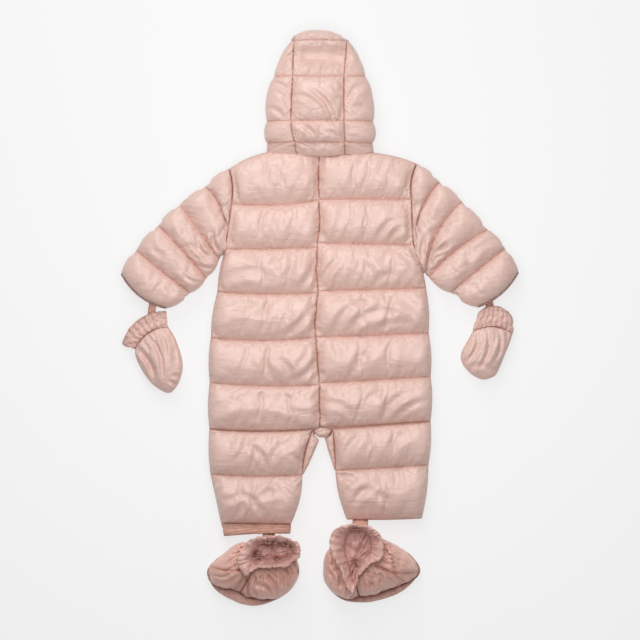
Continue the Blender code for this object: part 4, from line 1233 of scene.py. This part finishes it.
LEFT_HAND_CREASES = (
    Crease((-0.2640, -0.0440), (-0.2400, -0.0900), 0.0044, 0.0062),
    Crease((-0.2560, -0.0340), (-0.2480, -0.0560), 0.0022, 0.0030),
    Crease((-0.2490, -0.0260), (-0.2290, -0.0760), 0.0030, 0.0060),
    Crease((-0.2430, -0.0220), (-0.2370, -0.0380), 0.0022, 0.0034),
    Crease((-0.2340, -0.0180), (-0.2260, -0.0540), 0.0036, 0.0036),
    Crease((-0.2260, -0.0150), (-0.2110, -0.0640), 0.0044, 0.0034),
    Crease((-0.2190, -0.0140), (-0.2150, -0.0300), 0.0022, 0.0030),
    Crease((-0.2130, -0.0820), (-0.2010, -0.0880), 0.0032, 0.0040),
    Crease((-0.2180, -0.0900), (-0.2080, -0.0980), 0.0030, 0.0030),
    Crease((-0.2560, -0.0560), (-0.2460, -0.0760), 0.0030, 0.0030),
)
RIGHT_HAND_CREASES = (
    Crease((0.2280, -0.0220), (0.2140, -0.0600), 0.0034, 0.0046),
    Crease((0.2350, -0.0180), (0.2290, -0.0400), 0.0028, 0.0028),
    Crease((0.2420, -0.0160), (0.2340, -0.0660), 0.0034, 0.0042),
    Crease((0.2520, -0.0150), (0.2480, -0.0420), 0.0028, 0.0028),
    Crease((0.2580, -0.0160), (0.2540, -0.0600), 0.0034, 0.0044),
    Crease((0.2690, -0.0220), (0.2600, -0.0640), 0.0032, 0.0034),
    Crease((0.2220, -0.0660), (0.2500, -0.0760), 0.0040, 0.0016),
)


def hand_plan(rows, across, down):
    number = min(int(max(down, 0)), len(rows) - 2)
    share = down - number
    before = rows[max(0, number - 1)]
    upper, lower = rows[number], rows[number + 1]
    after = rows[min(len(rows) - 1, number + 2)]
    four = [bowed(row.left, row.middle, row.right, across) for row in (before, upper, lower, after)]
    return smooth_curve(*four, share)


def hand_surface(rows, up):
    def surface(across, down):
        place = down * (len(rows) - 1)
        point = hand_plan(rows, across, place)
        return Vector((point.x, point.y, MITTEN_MIDDLE + up * 0.0016))

    return surface


def hand_ends(across, width):
    return rounded(min(across, 1 - across) * width, 0.018)


def cuff_surface(rows, ripples):
    def surface(across, down):
        share, up = ring_share(across)
        point = hand_plan(rows, share, down)
        free = 1 - down / (len(rows) - 1)
        drift = 2.2 * noise.noise(Vector((share * 4, down * 2, up * 3)))
        ripple = math.sin(share * ripples * 2 * math.pi + drift)
        rise = ring_height(share, 0.0040 + 0.0048 * free)
        ripple *= 0.0017 * math.sin(math.pi * share) ** 0.5
        return Vector((point.x, point.y, MITTEN_MIDDLE + up * (rise + ripple)))

    return surface


CUFF_CLOTH = satin(
    "cuff_satin",
    light=(0.76, 0.50, 0.440, 1),
    shade=(0.66, 0.385, 0.325, 1),
    thread=(0.55, 0.25, 0.19, 1),
    roughness=0.42,
    crinkle=0.0012,
)
MITTENS = (
    ("left", LEFT_HAND, LEFT_CUFF, LEFT_HAND_CREASES, 81.0),
    ("right", RIGHT_HAND, RIGHT_CUFF, RIGHT_HAND_CREASES, 87.0),
)
for side, hand, cuff_rows, creases, seed in MITTENS:
    for face, up in (("back", 1), ("palm", -1)):
        layer = lay_out(
            f"mitten_{face}_{side}", hand_surface(hand, up), [HAND_CHANNEL], 26, HAND_CELL[face],
            out=up, ends=hand_ends, lean=0.05, seed=seed + up,
        )
        fill(layer, spare=0.05)
        rest_on_floor(layer)
        if up > 0:
            press_creases(layer, creases)
        smooth(layer)
        line_with_flat(layer, MITTEN_MIDDLE + up * LINING_GAP)
        finish_piece(layer, SHELL, [f"mitten_{face}_{side}"])
    cuff = lay_out(
        f"mitten_cuff_{side}", cuff_surface(cuff_rows, 8), [MITTEN_CUFF_CHANNEL] * 2, 96, 0.0022,
        ends=plain_ends, sewn=lambda across, line: line != 1, around=True, lean=0, seed=seed + 3,
    )
    fill(cuff, spare=0.06, pressure=80, frames=8)
    rest_on_floor(cuff)
    smooth(cuff)
    wall_in(cuff, thickness=0.0014)
    finish_piece(cuff, CUFF_CLOTH, [f"mitten_cuff_{side}"])


# The booties: a vamp over the toe, an outer and an inner side, and a sole whose gathered edge is drawn up
# round them. A wide cuff of band cloth is gathered on round the ankle, and carries on down inside as the
# loose lining. Each bootie lies on its sole. Its lines are closed, start at the toe and run anticlockwise.
BootieForm = namedtuple("BootieForm", "side sole edge neck rim throat bed seed")
LEFT_BOOTIE = BootieForm(
    "left",
    sole=(
        (-0.1636, -0.3660), (-0.1550, -0.3910), (-0.1300, -0.4085), (-0.0980, -0.4175), (-0.0660, -0.4090),
        (-0.0420, -0.3925), (-0.0322, -0.3680), (-0.0380, -0.3440), (-0.0600, -0.3270), (-0.0900, -0.3220),
        (-0.1180, -0.3290), (-0.1470, -0.3460),
    ),
    edge=(
        (-0.1625, -0.3665), (-0.1530, -0.3855), (-0.1280, -0.3920), (-0.0990, -0.4050), (-0.0670, -0.4050),
        (-0.0440, -0.3900), (-0.0330, -0.3675), (-0.0400, -0.3450), (-0.0600, -0.3290), (-0.0900, -0.3240),
        (-0.1180, -0.3310), (-0.1460, -0.3480),
    ),
    neck=(
        (-0.1090, -0.3420), (-0.1060, -0.3540), (-0.0990, -0.3600), (-0.0860, -0.3540), (-0.0700, -0.3540),
        (-0.0530, -0.3510), (-0.0400, -0.3430), (-0.0360, -0.3330), (-0.0440, -0.3260), (-0.0600, -0.3220),
        (-0.0820, -0.3210), (-0.1000, -0.3270),
    ),
    rim=(
        (-0.1165, -0.3430), (-0.1130, -0.3590), (-0.1040, -0.3690), (-0.0900, -0.3590), (-0.0700, -0.3585),
        (-0.0480, -0.3550), (-0.0310, -0.3440), (-0.0278, -0.3310), (-0.0370, -0.3165), (-0.0560, -0.3085),
        (-0.0800, -0.3085), (-0.1020, -0.3170),
    ),
    throat=(
        (-0.0990, -0.3420), (-0.0960, -0.3510), (-0.0900, -0.3560), (-0.0800, -0.3535), (-0.0690, -0.3530),
        (-0.0540, -0.3500), (-0.0420, -0.3420), (-0.0390, -0.3320), (-0.0460, -0.3230), (-0.0610, -0.3180),
        (-0.0770, -0.3190), (-0.0910, -0.3270),
    ),
    bed=(-0.0720, -0.3400),
    seed=91.0,
)
RIGHT_BOOTIE = BootieForm(
    "right",
    sole=(
        (0.1440, -0.3670), (0.1330, -0.3450), (0.1100, -0.3290), (0.0860, -0.3180), (0.0600, -0.3080),
        (0.0340, -0.3120), (0.0160, -0.3300), (0.0055, -0.3560), (0.0080, -0.3850), (0.0330, -0.4085),
        (0.0730, -0.4115), (0.1180, -0.3965),
    ),
    edge=(
        (0.1420, -0.3680), (0.1310, -0.3470), (0.1080, -0.3310), (0.0850, -0.3200), (0.0600, -0.3100),
        (0.0360, -0.3140), (0.0180, -0.3310), (0.0070, -0.3560), (0.0100, -0.3830), (0.0340, -0.4020),
        (0.0730, -0.4000), (0.1170, -0.3860),
    ),
    neck=(
        (0.0800, -0.3400), (0.0830, -0.3270), (0.0790, -0.3150), (0.0690, -0.3040), (0.0545, -0.2985),
        (0.0370, -0.3030), (0.0260, -0.3130), (0.0240, -0.3340), (0.0340, -0.3620), (0.0450, -0.3860),
        (0.0530, -0.3690), (0.0620, -0.3530),
    ),
    rim=(
        (0.0865, -0.3430), (0.0895, -0.3270), (0.0850, -0.3110), (0.0740, -0.2990), (0.0545, -0.2925),
        (0.0320, -0.2975), (0.0190, -0.3090), (0.0178, -0.3330), (0.0310, -0.3640), (0.0440, -0.3930),
        (0.0550, -0.3740), (0.0660, -0.3560),
    ),
    throat=(
        (0.0720, -0.3370), (0.0740, -0.3250), (0.0700, -0.3130), (0.0620, -0.3050), (0.0530, -0.3010),
        (0.0420, -0.3050), (0.0350, -0.3150), (0.0340, -0.3340), (0.0410, -0.3590), (0.0465, -0.3800),
        (0.0520, -0.3660), (0.0600, -0.3490),
    ),
    bed=(0.0500, -0.3470),
    seed=95.0,
)
NECK_HEIGHT = 0.046
RIM_HEIGHT = 0.060
THROAT_HEIGHT = 0.044
BED_HEIGHT = 0.033
EDGE_HEIGHT = 0.0110
SEAM_LIFT = 0.0004
UPPERS = (("toe", -0.2, 0.2), ("outer", 0.2, 0.5), ("inner", 0.5, 0.8))
GATHERS = 30
UPPER_GAP = 0.0005
UPPER_CHANNEL = Channel(0.046, 0.0032)


def on_line(points, around):
    """A point of a smooth closed line through the points, at a share of the way round it."""
    count = len(points)
    place = around % 1.0 * count
    number = int(place)
    share = place - number
    four = [Vector(points[(number + step) % count]) for step in (-1, 0, 1, 2)]
    return smooth_curve(*four, share)


def ruffle(around, seed, count=GATHERS):
    """Uneven gathers round a closed line, from -1 to 1."""
    turn = Vector((math.cos(2 * math.pi * around), math.sin(2 * math.pi * around), seed))
    gather = math.sin(2 * math.pi * (around * count + 1.6 * noise.noise(turn * 1.7)))
    return gather * (0.6 + 0.8 * noise.noise(turn * 3))


def upper_surface(form, first, last):
    def surface(across, down):
        around = first + UPPER_GAP + (last - first - 2 * UPPER_GAP) * across
        turn = down * math.pi / 2
        flat = on_line(form.neck, around).lerp(on_line(form.edge, around), 1 - (1 - down) ** 1.25)
        height = EDGE_HEIGHT + SEAM_LIFT + (NECK_HEIGHT - EDGE_HEIGHT) * math.cos(turn) ** 0.75
        height += 0.0019 * ruffle(around, form.seed) * (1 - down) ** 1.5 * min(1.0, down / 0.08)
        return Vector((flat.x, flat.y, height))

    return surface


def sole_surface(form):
    def surface(across, down):
        outer, edge = on_line(form.sole, across), on_line(form.edge, across)
        middle = sum((Vector(point) for point in form.sole), Vector((0, 0))) / len(form.sole)
        if down <= 1:
            flat = edge.lerp(outer, math.sin(down * math.pi / 2))
            height = EDGE_HEIGHT + 0.0035 * math.sin(math.pi * down) - 0.0052 * down**3
            puff = math.sin(math.pi * min(1.0, 0.3 + 0.7 * down))
            height += 0.0020 * ruffle(across, form.seed + 4, 40) * puff
        elif down <= 2:
            flat = outer.lerp(outer.lerp(middle, 0.10), down - 1)
            height = 0.0058 - 0.0054 * math.sin((down - 1) * math.pi / 2)
        else:
            flat = outer.lerp(middle, 0.10 + 0.90 * (down - 2))
            height = 0.0004
        return Vector((flat.x, flat.y, height))

    return surface


def cuff_and_lining(form):
    """The cuff from its gathers up and out to its rim, and over the rim down inside as the lining."""
    bed = Vector(form.bed)

    def surface(across, down):
        neck, rim, throat = (on_line(line, across) for line in (form.neck, form.rim, form.throat))
        wave = ruffle(across, form.seed + 2, 17) + 0.5 * ruffle(across, form.seed + 5, 37)
        if down <= 1:
            flat = neck.lerp(rim, down**0.8)
            height = NECK_HEIGHT + SEAM_LIFT + (RIM_HEIGHT - NECK_HEIGHT) * math.sin(down * math.pi / 2)
            height += 0.0016 * wave * down
        elif down <= 2:
            flat = rim.lerp(throat, down - 1)
            height = RIM_HEIGHT + (THROAT_HEIGHT - RIM_HEIGHT) * (down - 1) ** 1.6
            height += 0.0016 * wave * (1 - 0.3 * (down - 1)) + 0.0035 * math.sin((down - 1) * math.pi)
        else:
            flat = throat.lerp(bed, (down - 2) ** 1.3)
            height = THROAT_HEIGHT + (BED_HEIGHT - THROAT_HEIGHT) * math.sin((down - 2) * math.pi / 2)
            height += 0.0030 * wave * math.sin(math.pi * min(1.0, 0.35 + 0.65 * (down - 2)))
        return Vector((flat.x, flat.y, height))

    return surface


BOOTIE_CLOTH = satin(
    "bootie_satin",
    light=(0.80, 0.480, 0.405, 1),
    shade=(0.68, 0.355, 0.285, 1),
    thread=(0.52, 0.22, 0.16, 1),
    roughness=0.29,
    crinkle=0.0020,
)
LINING = satin(
    "lining_satin",
    light=(0.72, 0.435, 0.387, 1),
    shade=(0.60, 0.326, 0.274, 1),
    thread=(0.48, 0.22, 0.18, 1),
    roughness=0.42,
    crinkle=0.0016,
)

# The stitched seams across the uppers, in plan: they divide the vamp and join it to the sides.
LEFT_VAMP_SEAMS = (
    Crease((-0.1620, -0.3585), (-0.1380, -0.3630), 0.0016, 0.0022),
    Crease((-0.1380, -0.3630), (-0.1130, -0.3612), 0.0016, 0.0022),
    Crease((-0.1095, -0.3676), (-0.1240, -0.3912), 0.0016, 0.0024),
    Crease((-0.1059, -0.3695), (-0.1048, -0.3966), 0.0016, 0.0026),
    Crease((-0.1048, -0.3966), (-0.0980, -0.4080), 0.0016, 0.0026),
)
RIGHT_VAMP_SEAMS = (
    Crease((0.0780, -0.3550), (0.1070, -0.3672), 0.0016, 0.0024),
    Crease((0.1070, -0.3672), (0.1420, -0.3667), 0.0016, 0.0024),
    Crease((0.1070, -0.3680), (0.1270, -0.3857), 0.0016, 0.0020),
    Crease((0.0910, -0.3260), (0.1030, -0.3458), 0.0018, 0.0016),
    Crease((0.1030, -0.3458), (0.1070, -0.3657), 0.0018, 0.0016),
)

# Folds of the uppers, in plan: most run out from the gathers of the cuff.
LEFT_UPPER_CREASES = (
    Crease((-0.1200, -0.3480), (-0.1310, -0.3600), 0.0030, 0.0044),
    Crease((-0.1220, -0.3400), (-0.1340, -0.3540), 0.0034, 0.0036),
    Crease((-0.1180, -0.3700), (-0.1480, -0.3800), 0.0030, 0.0034),
    Crease((-0.1150, -0.3740), (-0.1400, -0.3860), 0.0024, 0.0029),
    Crease((-0.1280, -0.3660), (-0.1500, -0.3720), 0.0024, 0.0026),
    Crease((-0.0990, -0.3680), (-0.0930, -0.3860), 0.0030, 0.0060),
    Crease((-0.0900, -0.3660), (-0.0850, -0.3800), 0.0026, 0.0052),
    Crease((-0.0840, -0.3640), (-0.0870, -0.3820), 0.0024, 0.0044),
    Crease((-0.0790, -0.3680), (-0.0640, -0.3960), 0.0032, 0.0065),
    Crease((-0.0900, -0.3830), (-0.0700, -0.3960), 0.0034, 0.0047),
    Crease((-0.0700, -0.3630), (-0.0640, -0.3800), 0.0026, 0.0047),
    Crease((-0.0610, -0.3620), (-0.0560, -0.3840), 0.0028, 0.0047),
    Crease((-0.0500, -0.3600), (-0.0480, -0.3860), 0.0026, 0.0052),
    Crease((-0.0440, -0.3580), (-0.0420, -0.3800), 0.0022, 0.0042),
    Crease((-0.0380, -0.3540), (-0.0360, -0.3680), 0.0026, 0.0034),
    Crease((-0.1020, -0.3880), (-0.0900, -0.4040), 0.0026, 0.0039),
)
RIGHT_UPPER_CREASES = (
    Crease((0.0860, -0.3480), (0.0980, -0.3540), 0.0026, 0.0044),
    Crease((0.0900, -0.3380), (0.1040, -0.3440), 0.0030, 0.0034),
    Crease((0.0900, -0.3590), (0.0980, -0.3800), 0.0030, 0.0052),
    Crease((0.0820, -0.3580), (0.0860, -0.3860), 0.0032, 0.0060),
    Crease((0.0740, -0.3580), (0.0760, -0.3820), 0.0028, 0.0060),
    Crease((0.0680, -0.3640), (0.0700, -0.3960), 0.0030, 0.0060),
    Crease((0.0600, -0.3760), (0.0640, -0.4000), 0.0026, 0.0055),
    Crease((0.0540, -0.3860), (0.0530, -0.4040), 0.0024, 0.0052),
    Crease((0.0460, -0.3940), (0.0400, -0.4060), 0.0022, 0.0052),
    Crease((0.0400, -0.3900), (0.0320, -0.4020), 0.0022, 0.0047),
    Crease((0.0200, -0.3560), (0.0300, -0.3860), 0.0036, 0.0065),
    Crease((0.0160, -0.3400), (0.0180, -0.3560), 0.0030, 0.0044),
    Crease((0.0140, -0.3660), (0.0180, -0.3840), 0.0032, 0.0039),
    Crease((0.1060, -0.3720), (0.1140, -0.3860), 0.0030, 0.0039),
    Crease((0.1200, -0.3680), (0.1340, -0.3800), 0.0034, 0.0026),
)


STITCH_HALF = 0.0007


def stitch_across(piece, seams):
    """Sews seams across the upper side of a piece: each is pulled in, its thread shows, and shade is painted
    beside it.
    """
    near = piece.data.attributes["near"].data
    for seam in seams:
        start, end = Vector(seam.start), Vector(seam.end)
        run = end - start
        for vertex in piece.data.vertices:
            share = (vertex.co.xy - start).dot(run) / run.length_squared
            away = (vertex.co.xy - start.lerp(end, min(1.0, max(0.0, share)))).length
            if vertex.normal.z < 0.05 or away > 0.01:
                continue
            vertex.co.z -= seam.depth * math.exp(-((away / seam.width) ** 2))
            # Marking the seam in near gives it its thread and the painted shade that the satin puts beside
            # stitched lines.
            near[vertex.index].value = min(near[vertex.index].value, max(0.0, away - STITCH_HALF))


# Where the loose lining stands up inside a cuff or sinks away.
LEFT_MOUNDS = (
    Mound((-0.0800, -0.3385), 0.0095, 0.0150),
    Mound((-0.0945, -0.3400), 0.0046, -0.0200),
    Mound((-0.0890, -0.3475), 0.0036, -0.0140),
    Mound((-0.0575, -0.3360), 0.0085, 0.0190),
    Mound((-0.0640, -0.3465), 0.0036, -0.0200),
    Mound((-0.0690, -0.3330), 0.0030, -0.0120),
    Mound((-0.0480, -0.3430), 0.0050, -0.0080),
    Mound((-0.0760, -0.3240), 0.0050, -0.0080),
)
RIGHT_MOUNDS = (
    Mound((0.0500, -0.3250), 0.0100, 0.0150),
    Mound((0.0420, -0.3280), 0.0026, -0.0100),
    Mound((0.0600, -0.3300), 0.0028, -0.0120),
    Mound((0.0470, -0.3420), 0.0060, 0.0100),
    Mound((0.0530, -0.3560), 0.0046, -0.0200),
    Mound((0.0480, -0.3680), 0.0034, -0.0120),
)
for form, folds, seams, mounds in (
    (LEFT_BOOTIE, LEFT_UPPER_CREASES, LEFT_VAMP_SEAMS, LEFT_MOUNDS),
    (RIGHT_BOOTIE, RIGHT_UPPER_CREASES, RIGHT_VAMP_SEAMS, RIGHT_MOUNDS),
):
    for part, first, last in UPPERS:
        upper = lay_out(
            f"bootie_{part}_{form.side}", upper_surface(form, first, last), [UPPER_CHANNEL],
            56, 0.0016, ends=lambda across, width: min(1.0, min(across, 1 - across) * width / 0.008),
            lean=0.05, seed=form.seed + first,
        )
        fill(upper, spare=0.06, pressure=120, frames=10)
        press_creases(upper, folds)
        stitch_across(upper, seams)
        smooth(upper)
        wall_in(upper, thickness=0.0030)
        finish_piece(upper, BOOTIE_CLOTH, [f"bootie_{part}_{form.side}"])
    sole = lay_out(
        f"bootie_sole_{form.side}", sole_surface(form),
        [Channel(0.016, 0.0012), Channel(0.006, 0), Channel(0.036, 0)], 150, 0.0022,
        ends=plain_ends, around=True, lean=0, seed=form.seed + 3,
    )
    forget_cut(sole)
    rest_on_floor(sole)
    smooth(sole)
    wall_in(sole, thickness=0.0020)
    rest_on_floor(sole)
    finish_piece(sole, BOOTIE_CLOTH, [f"bootie_sole_{form.side}"])
    cuff = lay_out(
        f"bootie_cuff_{form.side}", cuff_and_lining(form),
        [Channel(0.016, 0.0010), Channel(0.020, 0.0010), Channel(0.034, 0.0010)], 130, 0.0017,
        ends=plain_ends, sewn=lambda across, line: line in (0, 2, 3), around=True,
        lean=0.1, seed=form.seed + 6,
    )
    fill(cuff, spare=0.10, pressure=60, frames=8)
    raise_mounds(cuff, mounds, ceiling=RIM_HEIGHT, facing=-1)
    smooth(cuff)
    wall_in(cuff, thickness=0.0012)
    finish_piece(cuff, LINING, [f"bootie_cuff_{form.side}"])


# The tabs that hold the mittens under the sleeve hems and the booties under the leg hems: narrow strips of
# band cloth folded in three and stitched, each sewn in at both ends. Each is laid through a few points.
Tab = namedtuple("Tab", "name half_width rests_on points")
TABS = (
    Tab("mitten_tab_left", 0.0055, "sleeve_left_cloth", (
        (-0.2400, 0.0410, 0.0190), (-0.2430, 0.0250, 0.0190),
        (-0.2460, 0.0020, 0.0145), (-0.2470, -0.0120, 0.0145),
    )),
    Tab("mitten_tab_right", 0.0052, "sleeve_right_cloth", (
        (0.2420, 0.0400, 0.0190), (0.2450, 0.0210, 0.0190),
        (0.2465, 0.0135, 0.0145), (0.2470, 0.0060, 0.0145),
    )),
    Tab("bootie_tab_left", 0.0090, "ankle_band_left_cloth", (
        (-0.0750, -0.3000, 0.0190), (-0.0750, -0.3110, 0.0210),
        (-0.0750, -0.3180, 0.0380), (-0.0750, -0.3220, 0.0440),
    )),
    Tab("bootie_tab_right", 0.0110, "back_right_cloth", (
        (0.0580, -0.2820, 0.0190), (0.0580, -0.2900, 0.0200),
        (0.0575, -0.2960, 0.0340), (0.0570, -0.3030, 0.0500),
    )),
)
TAB_PLEATS = 3
PLEAT_CLOTH = 0.005


def tab_surface(tab):
    start, end = Vector(tab.points[0]), Vector(tab.points[-1])
    sideways = Vector((end.y - start.y, start.x - end.x, 0)).normalized() * tab.half_width

    def surface(across, down):
        number = min(int(max(down, 0)), len(tab.points) - 2)
        middle = Vector(tab.points[number]).lerp(Vector(tab.points[number + 1]), down - number)
        pleat = 0.0009 * math.cos(across * TAB_PLEATS * 2 * math.pi)
        return middle + sideways * (1 - 2 * across) + Vector((0, 0, pleat))

    return surface


for tab in TABS:
    run = sum((Vector(a) - Vector(b)).length for a, b in zip(tab.points, tab.points[1:]))
    piece = lay_out(
        tab.name, tab_surface(tab), [Channel(run / 3, 0) for _ in tab.points[1:]], 18, 0.0015,
        ends=plain_ends, sewn=lambda across, line: False, lean=0, seed=101.0,
    )
    forget_cut(piece)
    smooth(piece)
    wall_in(piece, thickness=0.0012)
    piece.data.materials.append(BAND)
    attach(piece, "suit")
    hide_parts(tab.name)
    2 * tab.half_width + PLEAT_CLOTH


# The front zip, on the hidden side: two woven tapes sewn under the edges of the front panels, and a closed
# chain of moulded teeth. The slider and its pull keep their own shapes, in worn nickel.
ZIP_TOP = 0.236
ZIP_END = -0.1565
TAPE_MIDDLE = 0.0172
TAPE_THICK = 0.0010
TAPE_HALF = 0.0050
TAPE_GAP = 0.0008
TOOTH_PITCH = 0.0025
TOOTH = Vector((0.0032, 0.0012, 0.0019))
TOOTH_MIDDLE = 0.0155

tape_finish = Finish("zip_tape_weave", {"Base Color": (0.68, 0.45, 0.39, 1), "Roughness": 0.85})
tape_place = tape_finish.node("ShaderNodeTexCoord", {}, {}, output="Object")
tape_ribs = tape_finish.node(
    "ShaderNodeTexWave", {"bands_direction": "Y"}, {"Vector": tape_place, "Scale": 300.0, "Distortion": 0.2}
)
tape_finish.feed(
    "Normal",
    tape_finish.node("ShaderNodeBump", {}, {"Height": tape_ribs * 0.00008, "Distance": 1.0}, output="Normal"),
)
tape_finish.feed(
    "Base Color", tape_finish.mix(tape_ribs * 0.4, (0.70, 0.47, 0.40, 1), (0.60, 0.38, 0.32, 1))
)


def join(pieces, name):
    """Makes one piece of several."""
    bpy.ops.object.select_all(action="DESELECT")
    for piece in pieces:
        piece.select_set(True)
    bpy.context.view_layer.objects.active = pieces[0]
    bpy.ops.object.join()
    pieces[0].name = name
    return pieces[0]


tapes = []
for sign in (-1, 1):
    middle = (ZIP_X + sign * (TAPE_HALF + TAPE_GAP / 2), (ZIP_TOP + ZIP_END) / 2, TAPE_MIDDLE)
    bpy.ops.object.select_all(action="DESELECT")
    bpy.ops.mesh.primitive_cube_add(size=1, location=middle)
    tape = bpy.context.object
    tape.scale = (2 * TAPE_HALF, ZIP_TOP - ZIP_END, TAPE_THICK)
    bpy.ops.object.transform_apply(location=True, rotation=True, scale=True)
    tapes.append(tape)
tape_pair = join(tapes, "front_zip_tapes")
tape_pair.data.materials.append(tape_finish.material)
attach(tape_pair, "suit")
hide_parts("front_zip")

teeth = []
for sign in (-1, 1):
    start = (ZIP_X + sign * TOOTH.x * 0.28, ZIP_END + TOOTH_PITCH * (1 + 0.25 * sign), TOOTH_MIDDLE)
    bpy.ops.object.select_all(action="DESELECT")
    bpy.ops.mesh.primitive_cube_add(size=1, location=start)
    tooth = bpy.context.object
    tooth.scale = TOOTH
    bpy.ops.object.transform_apply(location=True, rotation=True, scale=True)
    rounding = tooth.modifiers.new("rounding", "BEVEL")
    rounding.width = 0.0003
    rounding.segments = 2
    bpy.ops.object.modifier_apply(modifier=rounding.name)
    repeat = tooth.modifiers.new("repeat", "ARRAY")
    repeat.use_relative_offset = False
    repeat.use_constant_offset = True
    repeat.constant_offset_displace = (0, TOOTH_PITCH, 0)
    repeat.count = int((ZIP_TOP - ZIP_END) / TOOTH_PITCH) - 2
    bpy.ops.object.modifier_apply(modifier=repeat.name)
    teeth.append(tooth)
chain = join(teeth, "front_zip_teeth")
tooth_finish = Finish("moulded_teeth", {"Base Color": (0.62, 0.40, 0.35, 1), "Roughness": 0.35})
chain.data.materials.append(tooth_finish.material)
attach(chain, "suit")
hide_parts("front_zip")

nickel = Finish("worn_nickel", {"Base Color": (0.60, 0.58, 0.56, 1), "Metallic": 1.0})
wear_place = nickel.node("ShaderNodeTexCoord", {}, {}, output="Object")
wear = nickel.node("ShaderNodeTexNoise", {}, {"Vector": wear_place, "Scale": 400.0, "Detail": 3.0})
nickel.feed("Roughness", wear * 0.2 + 0.22)
for name in ("zip_slider", "zip_pull"):
    metal = bpy.data.objects[name]
    metal.data.materials.clear()
    metal.data.materials.append(nickel.material)
